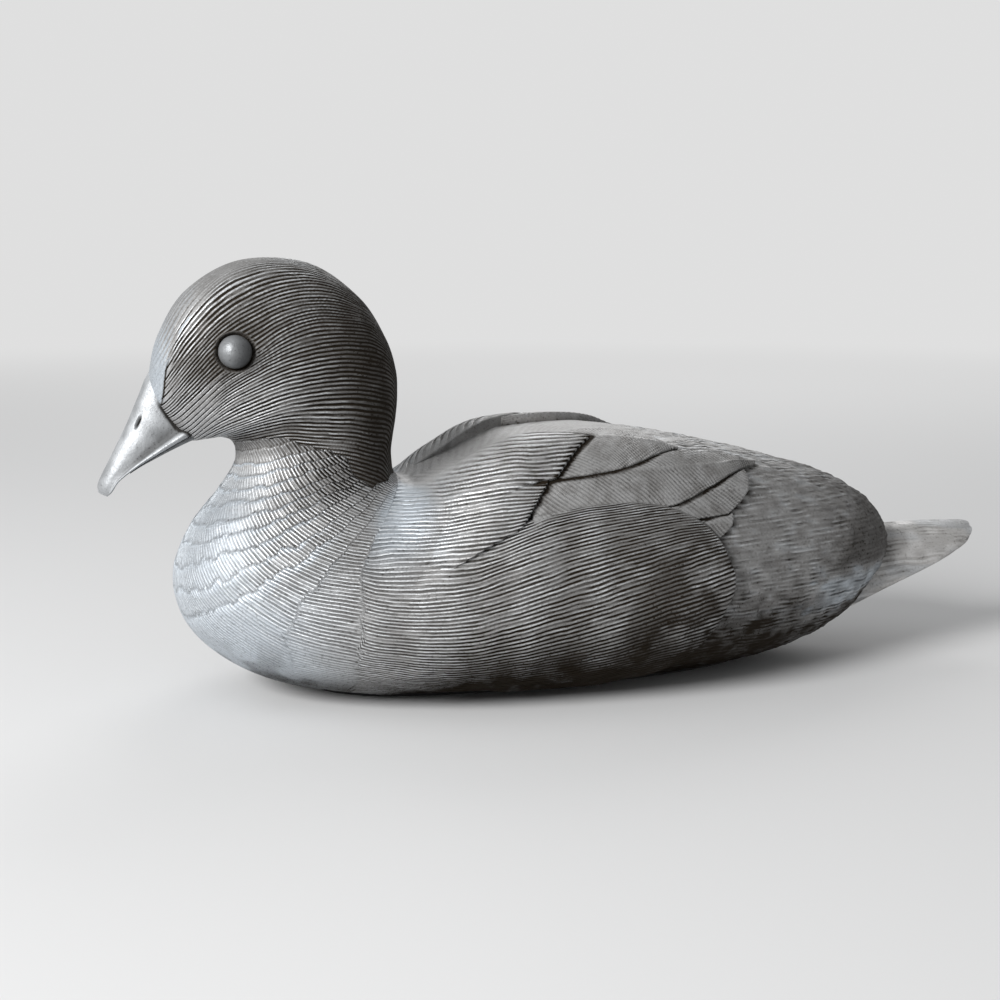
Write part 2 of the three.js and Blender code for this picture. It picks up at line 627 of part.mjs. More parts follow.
function eyeGeometry() {
  const radius = EYE_DIAMETER / 2;
  const dome = stepsBetween(0, Math.PI / 2, 4).map((angle) => [
    angle === Math.PI / 2 ? 0 : radius * Math.cos(angle),
    2 * CLEARANCE + (EYE_BULGE + EYE_RECESS - 2 * CLEARANCE) * Math.sin(angle),
  ]);
  return lathe([
    [0, -EYE_STEM_LENGTH], [EYE_STEM_RADIUS, -EYE_STEM_LENGTH], [EYE_STEM_RADIUS, CLEARANCE],
    [radius * 0.9, CLEARANCE], ...dome,
  ], EYE_STEPS);
}

function eyeSocket(side) {
  const { seat, turn } = eyePlace(side);
  const [rim, bore] = [EYE_DIAMETER / 2 + EYE_RIM, EYE_STEM_RADIUS + CLEARANCE];
  const geometry = lathe([
    [0, -EYE_STEM_LENGTH - CLEARANCE], [bore, -EYE_STEM_LENGTH - CLEARANCE], [bore, 0],
    [rim * 0.92, 0], [rim + EYE_RIM, EYE_DIAMETER / 2], [0, EYE_DIAMETER / 2],
  ], EYE_STEPS);
  return fromGeometry(geometry.applyQuaternion(turn).translate(...seat.toArray()));
}

// Head: skin, spigot down into the collar, cavity open at the spigot's end, sockets
const SPIGOT_START = COLLAR_START + 0.15;
const CAVITY_FRONT = 23.2; // station where the head's cavity ends
const seamSpacing = core(NECK + 1, 0).distanceTo(core(NECK, 0));

function makeHead() {
  const start = NECK + CLEARANCE / seamSpacing;
  const outer = loft(stepsBetween(start, LAST, 22).map((u) => ring(u, 0, HEAD_STEPS)));
  const spigotLift = -COLLAR_WALL - CLEARANCE;
  const rings = (from, to, count, lift) => (
    stepsBetween(from, to, count).map((u) => ring(u, lift, CAVITY_STEPS, core))
  );
  const spigot = loft(rings(SPIGOT_START, NECK + 0.5, 4, spigotLift));
  const cavity = loft([
    ...rings(SPIGOT_START - 0.3, NECK + 0.5, 4, spigotLift - SPIGOT_WALL),
    ...rings(NECK + 1, CAVITY_FRONT, 9, -HEAD_WALL),
  ]);
  const solidHead = join(outer, spigot);
  return cut(solidHead, cavity, ...SIDES.map(eyeSocket), upperPeg(CLEARANCE), lowerPeg(CLEARANCE));
}

// Finishes
function finish(color, roughness, metalness) {
  return new THREE.MeshStandardMaterial({ color, roughness, metalness });
}
const carvedPewter = () => finish(0x7d7d80, 0.45, 0.85);
const smoothPewter = () => finish(0x9a9b9e, 0.35, 0.85);
const plateMetal = () => finish(0x8a8c8e, 0.5, 0.8);
const screwMetal = () => finish(0xb08d4a, 0.4, 0.9);
const felt = () => finish(0x1e2420, 0.95, 0);

const duck = new THREE.Group();
duck.name = 'duck';

function add(name, geometry, material, place) {
  const mesh = new THREE.Mesh(geometry, material);
  mesh.name = name;
  if (place) {
    mesh.position.copy(place.seat);
    mesh.quaternion.copy(place.turn);
  }
  duck.add(mesh);
}

function addSolid(name, piece, material) {
  const { vertProperties, triVerts } = piece.getMesh();
  const geometry = new THREE.BufferGeometry();
  geometry.setAttribute('position', new THREE.BufferAttribute(new Float32Array(vertProperties), 3));
  geometry.setIndex(new THREE.BufferAttribute(new Uint32Array(triVerts), 1));
  geometry.computeVertexNormals();
  add(name, geometry, material);
}

addSolid('body_shell', makeBody(), carvedPewter());
addSolid('head_shell', makeHead(), carvedPewter());
addSolid('upper_bill', makeUpperBill(), smoothPewter());
addSolid('lower_bill', makeLowerBill(), smoothPewter());
for (const [name, side] of [['left', 1], ['right', -1]]) {
  add(`${name}_eye`, eyeGeometry(), smoothPewter(), eyePlace(side));
  addSolid(`${name}_wing`, fittedWing(side), carvedPewter());
}
addSolid('tail_fan', makeTail(), carvedPewter());
addSolid('base_plate', makeBasePlate(), plateMetal());
addSolid('felt_pad', makeFeltPad(), felt());
screwSpots.forEach((spot, k) => {
  add(`base_screw_${k + 1}`, screwGeometry(), screwMetal(), { seat: spot, turn: new THREE.Quaternion() });
});

export default duck;
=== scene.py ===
"""A cast pewter duck at rest: carved skin, folded wings, bead eyes and a fanned tail, on a pale floor.

Lengths are millimetres until a mesh is made. The bill points to -X, the duck's left side to -Y, +Z is up.
"""

import bpy
import numpy as np
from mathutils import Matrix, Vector
from mathutils.kdtree import KDTree


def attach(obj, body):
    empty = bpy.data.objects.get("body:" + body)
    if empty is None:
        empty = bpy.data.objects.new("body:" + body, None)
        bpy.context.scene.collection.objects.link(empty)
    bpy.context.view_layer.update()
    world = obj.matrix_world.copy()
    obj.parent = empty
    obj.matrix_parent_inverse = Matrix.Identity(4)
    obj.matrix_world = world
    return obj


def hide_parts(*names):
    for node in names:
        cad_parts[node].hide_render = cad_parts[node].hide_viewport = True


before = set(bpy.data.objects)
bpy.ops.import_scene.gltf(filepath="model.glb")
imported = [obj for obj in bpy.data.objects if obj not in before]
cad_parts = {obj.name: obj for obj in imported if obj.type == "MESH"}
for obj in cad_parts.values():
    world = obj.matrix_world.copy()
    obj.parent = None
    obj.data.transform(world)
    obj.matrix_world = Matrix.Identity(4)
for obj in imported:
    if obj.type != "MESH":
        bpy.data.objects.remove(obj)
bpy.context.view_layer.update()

MM = 0.001
DEGREE = np.pi / 180
TINY = 1e-12
STEP = 1e-3  # stations or radians between two points of the skin that give its direction
SIDES = {"left": 1, "right": -1}

# ---- The form: the same loft along the spine as the castings have ----
BODY_LENGTH = 233
BACK_HEIGHT = 75
BEAM = 106
HEAD_LENGTH = 72
HEAD_RISE = 46.5
HEAD_WIDTH = 48
ORIGIN_SHARE = 0.4657
REST_Z = 1.5

# Sections: back along and up, belly along and up, half width, height of the widest point, as shares of the
# lengths above
BODY_STATIONS = [
    (1, 0.493, 0.998, 0.42, 0.019, 0.5),
    (0.991, 0.567, 0.979, 0.32, 0.208, 0.5),
    (0.957, 0.68, 0.94, 0.207, 0.387, 0.48),
    (0.895, 0.787, 0.886, 0.093, 0.566, 0.46),
    (0.8, 0.873, 0.792, 0.004, 0.736, 0.44),
    (0.689, 0.953, 0.68, -0.033, 0.887, 0.43),
    (0.569, 1, 0.56, -0.049, 0.981, 0.43),
    (0.448, 0.967, 0.431, -0.052, 1, 0.43),
    (0.363, 0.873, 0.311, -0.047, 0.981, 0.43),
    (0.315, 0.82, 0.208, -0.023, 0.934, 0.44),
    (0.298, 0.823, 0.118, 0.04, 0.868, 0.45),
    (0.291, 0.841, 0.054, 0.147, 0.792, 0.46),
    (0.286, 0.871, 0.014, 0.287, 0.708, 0.47),
    (0.285, 0.907, 0.002, 0.467, 0.623, 0.48),
    (0.285, 0.951, 0.024, 0.647, 0.532, 0.49),
    (0.288, 1.009, 0.061, 0.793, 0.453, 0.5),
    (0.292, 1.08, 0.084, 0.907, 0.411, 0.5),
]
HEAD_STATIONS = [
    (-0.008, 0.14, 0.678, -0.148, 0.9, 0.5),
    (-0.003, 0.301, 0.738, -0.105, 0.942, 0.47),
    (0.039, 0.505, 0.793, -0.114, 0.983, 0.45),
    (0.147, 0.763, 0.822, -0.123, 1, 0.44),
    (0.356, 0.983, 0.842, -0.127, 0.992, 0.44),
    (0.633, 1, 0.856, -0.12, 0.942, 0.45),
    (0.849, 0.817, 0.869, -0.105, 0.817, 0.46),
    (0.964, 0.548, 0.889, -0.08, 0.625, 0.48),
    (1.006, 0.312, 0.911, -0.037, 0.408, 0.5),
    (1.003, 0.204, 0.947, 0.032, 0.208, 0.5),
]
NECK = len(BODY_STATIONS) - 1  # station of the neck joint
LAST = NECK + len(HEAD_STATIONS)
FACE = LAST - 1  # station of the bill's base


def sections(stations, corner, length, height, width):
    """Rows of the loft: back X and Z, belly X and Z, half width and share of the widest point."""
    scale = (length, height, length, height, width / 2, 1)
    return np.array(stations) * scale + (*corner, *corner, 0, 0)


def body_x(share):
    return (share - ORIGIN_SHARE) * BODY_LENGTH


def body_z(share):
    return REST_Z + share * BACK_HEIGHT


BODY_ROWS = sections(BODY_STATIONS, (body_x(0), REST_Z), BODY_LENGTH, BACK_HEIGHT, BEAM)
HEAD_ROWS = sections(HEAD_STATIONS, BODY_ROWS[NECK, :2], -HEAD_LENGTH, HEAD_RISE, HEAD_WIDTH)
STATIONS = np.vstack([BODY_ROWS, HEAD_ROWS])

# Soft swellings of the skin: station, degrees from the back, spread along and round, rise
SWELLINGS = [(8.2, 36, 1.6, 19, 6.5), (6.2, 31, 1.7, 17, 3.6)]


def spline(points, share):
    """A smooth curve through points, at shares from 0 to 1 of its length in points."""
    p = np.asarray(points, float)
    q = np.vstack([2 * p[0] - p[1], p, 2 * p[-1] - p[-2]])
    s = np.clip(np.asarray(share, float), 0, 1) * (len(p) - 1)
    i = np.minimum(s.astype(int), len(p) - 2)
    f = (s - i)[..., None]
    before, start, end, after = q[i], q[i + 1], q[i + 2], q[i + 3]
    m1, m2 = (end - before) / 2, (after - start) / 2
    return (
        (2 * f**3 - 3 * f**2 + 1) * start + (f**3 - 2 * f**2 + f) * m1
        + (3 * f**2 - 2 * f**3) * end + (f**3 - f**2) * m2
    )


def bell(x, middle, spread):
    """1 at the middle, falling smoothly to 0 on both sides."""
    return np.exp(-(((x - middle) / spread) ** 2))


def ease(x, start, end):
    """Goes smoothly from 0 at start to 1 at end, whichever of them is higher, and stays level outside."""
    t = np.clip((x - start) / (end - start), 0, 1)
    return t * t * (3 - 2 * t)


def unit(vectors):
    return vectors / (np.linalg.norm(vectors, axis=-1, keepdims=True) + TINY)


def running(steps):
    """Sums of the steps so far along the last axis, from 0."""
    return np.insert(np.cumsum(steps, axis=-1), 0, 0, axis=-1)


def swelling(u, angle):
    degrees = np.abs(angle) / DEGREE
    return sum(
        rise * bell(u, at, along) * bell(degrees, at_degrees, around)
        for at, at_degrees, along, around, rise in SWELLINGS
    )


def skin(u, angle, lift=0.0):
    """The skin at station u, at an angle from the back (0) down the left side to the belly (pi)."""
    u, angle = np.broadcast_arrays(np.asarray(u, float), np.asarray(angle, float))
    row = spline(STATIONS, u / LAST)
    zero = np.zeros(u.shape)
    back = np.stack([row[..., 0], zero, row[..., 1]], -1)
    belly = np.stack([row[..., 2], zero, row[..., 3]], -1)
    half, centre = row[..., 4], row[..., 5]
    depth = np.linalg.norm(back - belly, axis=-1)
    spine = (back - belly) / depth[..., None]
    up, out = np.cos(angle), np.sin(angle)
    reach = np.where(up >= 0, 1 - centre, centre) * depth
    normal = unit(np.stack([up / reach, out / half], -1))
    total = lift + swelling(u, angle)
    point = belly + spine * (centre * depth + reach * up + normal[..., 0] * total)[..., None]
    point[..., 1] = -(half * out + normal[..., 1] * total)
    return point


def normals_of(grid, wrap=False):
    """Unit normals of a grid of points, on the side that the rows turned over the columns give."""
    along = np.gradient(grid, axis=0)
    if wrap:
        around = (np.roll(grid, -1, 1) - np.roll(grid, 1, 1)) / 2
    else:
        around = np.gradient(grid, axis=1)
    return unit(np.cross(along, around))


# Large factors that scatter the numbers of neighbouring cells
CELL_PRIMES = (73856093, 19349663, 83492791)
SEED_PRIME = 2654435761
MIXING_PRIME = 1274126177


def noise(points, size, seed):
    """Smooth noise from 0 to 1 with bumps about size apart."""
    q = points / size
    cell = np.floor(q).astype(np.int64)
    f = q - cell
    f = f * f * (3 - 2 * f)
    total = np.zeros(points.shape[:-1])
    for corner in range(8):
        offset = np.array([corner & 1, corner >> 1 & 1, corner >> 2])
        mixed = np.bitwise_xor.reduce((cell + offset) * CELL_PRIMES, axis=-1) ^ (seed * SEED_PRIME)
        mixed = (mixed ^ (mixed >> 13)) * MIXING_PRIME
        value = ((mixed ^ (mixed >> 16)) & 0xFFFF) / 0xFFFF
        total += value * np.prod(np.where(offset == 1, f, 1 - f), axis=-1)
    return total


LEVEL_PART = (42, 8)  # degrees from the back: below the first none of the length counts, above the last all
ARC_STATIONS = np.linspace(0, LAST, 40 * LAST + 1)
ARC_ANGLES = np.linspace(0, np.pi, 181)


def arc_tables():
    """Lengths round each section from the back down one side, and how much longer than their fall they are
    from there up to the side, where the skin turns level."""
    grid = skin(ARC_STATIONS[:, None], ARC_ANGLES[None])
    steps = np.linalg.norm(np.diff(grid, axis=1), axis=-1)
    level = (steps - np.abs(np.diff(grid[..., 2], axis=1))) * ease(ARC_ANGLES[1:] / DEGREE, *LEVEL_PART)
    return running(steps), running(level[:, ::-1])[:, ::-1]


ARCS, LEVELLED = arc_tables()


def arc(u, angle, table=ARCS):
    """Distance over the skin from the middle of the back to a point, in its section."""
    i = np.clip(u / LAST * (len(ARC_STATIONS) - 1), 0, len(ARC_STATIONS) - 1.001)
    j = np.clip(np.abs(angle) / np.pi * (len(ARC_ANGLES) - 1), 0, len(ARC_ANGLES) - 1.001)
    i0, j0 = i.astype(int), j.astype(int)
    fi, fj = i - i0, j - j0
    top = table[i0, j0] * (1 - fj) + table[i0, j0 + 1] * fj
    low = table[i0 + 1, j0] * (1 - fj) + table[i0 + 1, j0 + 1] * fj
    return top * (1 - fi) + low * fi


# ---- Carving: lines cut along the feathers ----
LINE_DEPTH = 0.32
LEVEL = 95 * DEGREE  # angle from the back at which the lines of the side are counted from 0
FLANK_PITCHES = ((-55, 0.98), (0, 1.2))  # place along X and distance between lines there
SHOULDER_PITCH = 1.1
SHOULDER_LEAN = (0.0, 0.16)  # how much the shoulder's lines rise along X and fall away from the middle
SHOULDER_LEVEL = 17.5  # height over the felt of the shoulder's line 0
# Where the shoulder's lines start and end their change into the flank's: degrees at each of two stations
SHOULDER_FADE = (((7, 46), (8.5, 56)), ((7, 60), (8.5, 84)))
FLANK_RISE = (-35, 0.25, 45)  # X behind which the flank's lines rise, how steeply, and how soon
RUMP_PITCH = 1.35
RUMP_START = 5.6  # station where the flank's lines give way to the rump's rough metal
RUMP_END = (50, 60)  # where painted shade darkens the rump's blunt end over the tail: X less the height
TIER_ENDS = (9.75, 11.2, 12.2, 12.75, 13.3, 13.75, 14.2, 14.65, 15.1, 15.55, 16, 16.6, 17.2, 17.8, 18.4)
TIER_FRONT_X = -59  # where the first tier starts on the side
TIER_LEAN = 0.075  # stations by which it starts later for each mm in front of there
TIER_PITCH = 1.05
TIER_STEP = 0.38
# How far the strokes of the tiers turn from round the section to straight across it, in degrees, at shares of
# the way from back to belly and at stations
STROKE_SHARES = (0, 0.25, 0.4, 0.55, 0.7, 0.85, 1)
STROKE_TURNS = {
    9.75: (75, 72, 66, 60, 58, 65, 90),
    11.0: (70, 68, 66, 58, 56, 62, 90),
    12.5: (50, 60, 68, 68, 64, 66, 90),
    14.0: (30, 45, 62, 76, 74, 76, 90),
    15.5: (18, 30, 58, 70, 76, 80, 90),
    17.0: (18, 25, 45, 62, 66, 75, 90),
}
HEAD_PITCH = 0.95
# degrees from the back, and stations where the head's lines begin there
HEAD_EDGE = ((0, 25, 44, 72, 101, 133, 180), (11.8, 12.1, 12.9, 15.2, 16.3, 17.2, 17.3))
# Lines that the head's carving follows, seen from the side: distance over the skin from the first one, and
# heights at even steps along the head
GUIDE_X = (-112, -40)
HEAD_GUIDES = [
    (0.0, [95, 110.9, 120.2, 124.9, 126.9, 127.1, 124.5, 120, 114]),
    (4.6, [90.5, 103.2, 112.6, 118.4, 121.6, 122.8, 121.6, 117.5, 111.5]),
    (8.6, [86, 98, 108, 113.5, 117.3, 118.6, 117.7, 114.3, 109]),
    (16.0, [78, 88.7, 97.6, 102.8, 108.7, 111.5, 111.4, 109.9, 105.5]),
    (21.5, [73, 83, 92.5, 98.2, 102.4, 104.8, 105.5, 104, 100.8]),
    (27.5, [68, 77.6, 86.8, 92, 95.2, 97, 97.3, 96, 93]),
    (33.0, [65.2, 74.4, 81.2, 85.3, 88.5, 90, 90.1, 88.7, 85.5]),
    (36.8, [63, 71.8, 78.1, 82.1, 84.3, 84.5, 83.9, 82.2, 79.5]),
    (41.0, [60.3, 68.8, 74.4, 77.6, 79.8, 79.5, 78.5, 76.2, 73]),
    (52.5, [49.5, 58, 64, 67.2, 69, 68, 65.5, 61, 54.5]),
]
# The smooth band over the forehead: stations and its half width in degrees there
FOREHEAD = ((21.5, 22, 23, 24, 24.6, 25.5), (27, 41, 50, 60, 76, 89))
EYE_MASK = ((-92.5, 103.5), 50, (16, 8.5))  # dark mask: middle in X and Z, degrees from level, reaches
PALENESS = ((0, 20, 59, 90), (0.1, 0.15, 0.58, 0.9))  # mm in front of the middle, share of painted light that makes the metal paler
LINE_SHIFT = np.array([31.7, 17.3, 9.1])  # mm between the noise of one line and of the next
FLOW_STEP = 0.05  # mm between two points at which the head's lines are compared


class Carving:
    """Values at each vertex: the lines' phase and strength, height in mm, and tones from 0 to 1.

    Soot is the darkness of the grooves; patina, that of all the surface, is partly the metal's own patina and
    partly painted shade; rub, the brightness of the ridges, and pale, that of the metal between them, both
    also hold painted light where a part faces the light.
    """

    plain = {"phase": 0, "strength": 0, "height": 0, "soot": 1, "patina": 0, "rub": 0.3, "pale": 0}

    def __init__(self, shape, **values):
        values = {**self.plain, **values}
        self.values = {name: np.broadcast_to(value, shape) for name, value in values.items()}
        self.__dict__.update(self.values)

    def changed(self, **values):
        return Carving(self.phase.shape, **{**self.values, **values})

    def __getitem__(self, window):
        return Carving(self.phase[window].shape, **{k: v[window] for k, v in self.values.items()})

    def under(self, other, here):
        """This carving, with the other one where here is true."""
        return self.changed(**{k: np.where(here, other.values[k], v) for k, v in self.values.items()})

    def relief(self):
        """Height over the plain surface: 0 on a ridge, the line's depth down in a groove."""
        groove = ease(0.5 + 0.5 * np.cos(2 * np.pi * self.phase), 0.25, 1)
        return self.height - LINE_DEPTH * self.strength * groove

    def lines(self):
        return np.stack([self.phase, self.strength, np.clip(self.soot, 0, 1)], -1)

    def tones(self):
        return np.stack([np.clip(v, 0, 1) for v in (self.patina, self.rub, self.pale)], -1)


def ramp(x, ends):
    """Goes straight between two (place, value) ends and stays level outside them."""
    (low, start), (high, end) = ends
    return np.interp(x, (low, high), (start, end))


def painted_front_light(point):
    """Painted light that makes the metal paler: hardly behind the middle, most on the breast, which faces the
    light.
    """
    forward = -point[..., 0] - 0.8 * np.maximum(point[..., 2] - 50, 0)
    return np.interp(forward, *PALENESS)


def belly_shade(point):
    """Painted shade along the belly, from the breast back, where it faces down."""
    return ease(point[..., 2], 15, 4) * ease(point[..., 0], -104, -76)


def hollow(u, degrees):
    """The smooth hollow beside the neck, which is made paler with painted light."""
    return bell(u, 10.3, 1.4) * ease(degrees, 64, 38) * ease(degrees, 4, 28)


def fold_shade(u, degrees):
    """Painted shade in the fold where the back meets the neck."""
    return bell(u, 10.2, 1.1) * ease(degrees, 34, 10)


def flank_carving(u, degrees, angle, point, wave):
    """Long lines of the back and flanks, which rise towards the tail."""
    x, z = point[..., 0], point[..., 2]
    rise_start, slope, delay = FLANK_RISE
    behind = np.maximum(x - rise_start, 0)
    rise = slope * ease(degrees, 40, 75) * behind**2 / (behind + delay)
    across = arc(u, angle) - arc(u, np.full(u.shape, LEVEL)) + rise
    side = across / ramp(x, FLANK_PITCHES)
    along, away = SHOULDER_LEAN
    shoulder = (SHOULDER_LEVEL - z - along * x + away * np.abs(point[..., 1])) / SHOULDER_PITCH
    fading = ease(degrees, *(ramp(u, ends) for ends in SHOULDER_FADE))
    on_shoulder = (1 - fading) * ease(u, 5.5, 7)
    band = noise(point * (1, 0.3, 0.3), 7, 18) - 0.5
    blotch = ease(0.7 * noise(point, 10, 3) + 0.3 * noise(point, 2.5, 26), 0.4, 0.66)
    back = ease(degrees, 34, 14)
    # Painted shade: low darkens the lower flank, under the underside, and rear the rear away from the light,
    # where the blotches are the metal's own patina; ridges there are dimmed too.
    low = ease(z, 32, 6)
    rear = ease(x, -15, 50)
    # Painted light: the breast, the hollow beside the neck and the shoulder are made paler, with less dark
    # grooves, where they face the light.
    pale = painted_front_light(point)
    bare_and_lit = hollow(u, degrees)
    under = ease(degrees, 118, 150) * ease(x, -45, 30)
    return Carving(
        u.shape,
        phase=side * (1 - on_shoulder) + shoulder * on_shoulder + 0.45 * wave,
        strength=(1 - 0.9 * back) * (1 - 0.3 * bare_and_lit) * (1 - 0.4 * rear * blotch) * (1 - 0.5 * low * rear),
        height=0.7 * low * (noise(point, 5.5, 13) - 0.5) + 0.5 * band,
        soot=1 - 0.6 * pale - 0.15 * bare_and_lit - 0.15 * on_shoulder,
        patina=(low * ease(x, -60, -15) + 0.3 * under + 0.45 * belly_shade(point) + 0.2 * fold_shade(u, degrees)
                + rear * ease(z, 62, 40) * (0.14 + 0.62 * blotch) - 0.2 * band),
        rub=0.6 - 0.3 * rear * (1 - back) + 1.1 * band,
        pale=pale + 0.65 * bare_and_lit + 0.25 * on_shoulder,
    )


def rump_carving(u, degrees, angle, point, wave):
    """Rough, pitted metal with short level dashes, with painted shade at its blunt end over the tail and
    below.
    """
    x, z = point[..., 0], point[..., 2]
    dashes = ease(noise(point * (0.45, 1, 1), 1.7, 6), 0.45, 0.8)
    rough = noise(point, 1.5, 14) - 0.5
    lump = noise(point, 5, 13) - 0.5
    blotch = ease(noise(point, 2.6, 15), 0.4, 0.75)
    bare_and_lit = ease(noise(point * (0.5, 1, 1), 2.2, 19), 0.5, 0.72)
    high = ease(z + 3 * lump, 30, 36)
    # Painted shade: end darkens the blunt end over the tail, which faces away from the light, and low and
    # under darken the lower rump and its underside.
    end = ease(x - z + 2 * lump, *RUMP_END) * high
    brown = ease(x, 70, 100) * high
    low = ease(z, 38, 10) * ease(x, 95, 70)
    under = ease(degrees, 110, 125)
    return Carving(
        u.shape,
        phase=-(z + arc(u, angle, LEVELLED)) / RUMP_PITCH + 0.4 * wave,
        strength=0.1 + 0.5 * dashes * (1 - 0.5 * end),
        height=0.5 * lump + 0.8 * rough,
        soot=0.6 - 0.3 * end,
        patina=(0.05 + 0.25 * blotch * (1 - end) + 0.2 * brown + 0.35 * end
                + 0.85 * np.maximum(low, 0.7 * under)),
        rub=0.5 + 0.5 * bare_and_lit - 0.4 * end,
        # Painted light makes the rounded part below the blunt end paler.
        pale=0.25 + 0.4 * bare_and_lit * (1 - end) + 0.6 * ease(x, 72, 92) * (1 - high) * (1 - under),
    )


def strokes(middle, angle, point):
    """Phase of the strokes of one tier, measured from the ring of the skin at the station middle."""
    lengths = arc(np.full(ARC_ANGLES.shape, middle), ARC_ANGLES)
    at_station = [np.interp(middle, list(STROKE_TURNS), turns) for turns in zip(*STROKE_TURNS.values())]
    turns = np.interp(lengths / lengths[-1], STROKE_SHARES, at_station) * DEGREE
    across = running(np.sin((turns[1:] + turns[:-1]) / 2) * np.diff(lengths))
    across -= np.interp(LEVEL, ARC_ANGLES, across)
    angle = np.abs(angle)
    on_ring = skin(middle, angle)
    round_ring = unit(skin(middle, angle + STEP) - skin(middle, angle - STEP))
    down = skin(middle - STEP, angle) - skin(middle + STEP, angle)
    down = unit(down - (down * round_ring).sum(-1, keepdims=True) * round_ring)
    offset = np.concatenate([point[..., :1], -np.abs(point[..., 1:2]), point[..., 2:]], -1) - on_ring
    turn = np.interp(angle, ARC_ANGLES, turns)
    off_ring = (offset * round_ring).sum(-1) * np.sin(turn) + (offset * down).sum(-1) * np.cos(turn)
    return (np.interp(angle, ARC_ANGLES, across) + off_ring) / TIER_PITCH


def tier_carving(u, degrees, angle, point, wave, place):
    """Tiers of the breast and neck: short strokes that end in a raised, jagged edge, lit by painted
    highlight.
    """
    x, z = point[..., 0], point[..., 2]
    phase, share = np.zeros(u.shape), np.zeros(u.shape)
    for start, end in zip(TIER_ENDS, TIER_ENDS[1:]):
        here = (place >= start) & (place < end)
        phase[here] = strokes((start + end) / 2, angle[here], point[here])
        share[here] = (place[here] - start) / (end - start)
    step = ease(share, 0, 1) * ease(share, 1, 0.92)
    scalloped = ease(u, 11, 12.4) * ease(degrees, 55, 95)
    # Painted highlight on each tier's raised edge (edge), and painted shadow just under it (shade).
    edge = ease(share, 0.72, 0.9) * scalloped
    shade = ease(share, 0.2, 0) * scalloped
    # Painted light: the front, the breast and the hollow beside the neck are made paler, with less dark
    # grooves.
    front = ease(degrees, 98, 135)
    worn = ease(x, -58, -84) * ease(z, 27, 12)
    ends = ease(share, 0, 0.06) * ease(share, 1, 0.94)
    pale = painted_front_light(point)
    bare_and_lit = hollow(u, degrees)
    # Painted shadow on the neck under the jaw.
    chin_shadow = ease(u, 15.6, 16.9)
    nape = ease(z - 0.35 * (x + 71), 55, 63) * ease(x, -80, -62)
    return Carving(
        u.shape,
        phase=phase + 0.4 * wave,
        strength=(0.55 + 0.45 * ends) * (1 - 0.55 * front) * (1 - 0.45 * worn) * (1 - 0.6 * bare_and_lit),
        height=TIER_STEP * step * scalloped * (1 - 0.8 * ease(degrees, 140, 165)),
        soot=1 - 0.6 * pale - 0.2 * front - 0.3 * bare_and_lit,
        patina=(0.32 * nape + 0.3 * chin_shadow + 0.3 * shade + 0.7 * belly_shade(point) + 0.2 * fold_shade(u, degrees)
                + 0.35 * worn * ease(noise(point, 6, 16), 0.4, 0.7)),
        rub=0.6 + 0.4 * edge - 0.4 * nape,
        pale=(pale - 0.15 * scalloped + 0.1 * front + 0.45 * edge) * (1 - 0.6 * chin_shadow) + 0.9 * bare_and_lit,
    )


def head_flow(point):
    """Distance across the head's carved lines, seen from the side."""
    share = (point[..., 0] - GUIDE_X[0]) / (GUIDE_X[1] - GUIDE_X[0])
    heights = [spline(np.array(z)[:, None], share)[..., 0] for _, z in HEAD_GUIDES]
    z = point[..., 2]
    flow = HEAD_GUIDES[0][0] - (z - heights[0])
    for k in range(len(HEAD_GUIDES) - 1):
        start, end = HEAD_GUIDES[k][0], HEAD_GUIDES[k + 1][0]
        closer = (end - start) / np.maximum(heights[k] - heights[k + 1], 0.3)
        flow = np.where(z < heights[k], start + closer * (heights[k] - z), flow)
    return np.where(z < heights[-1], HEAD_GUIDES[-1][0] + heights[-1] - z, flow)


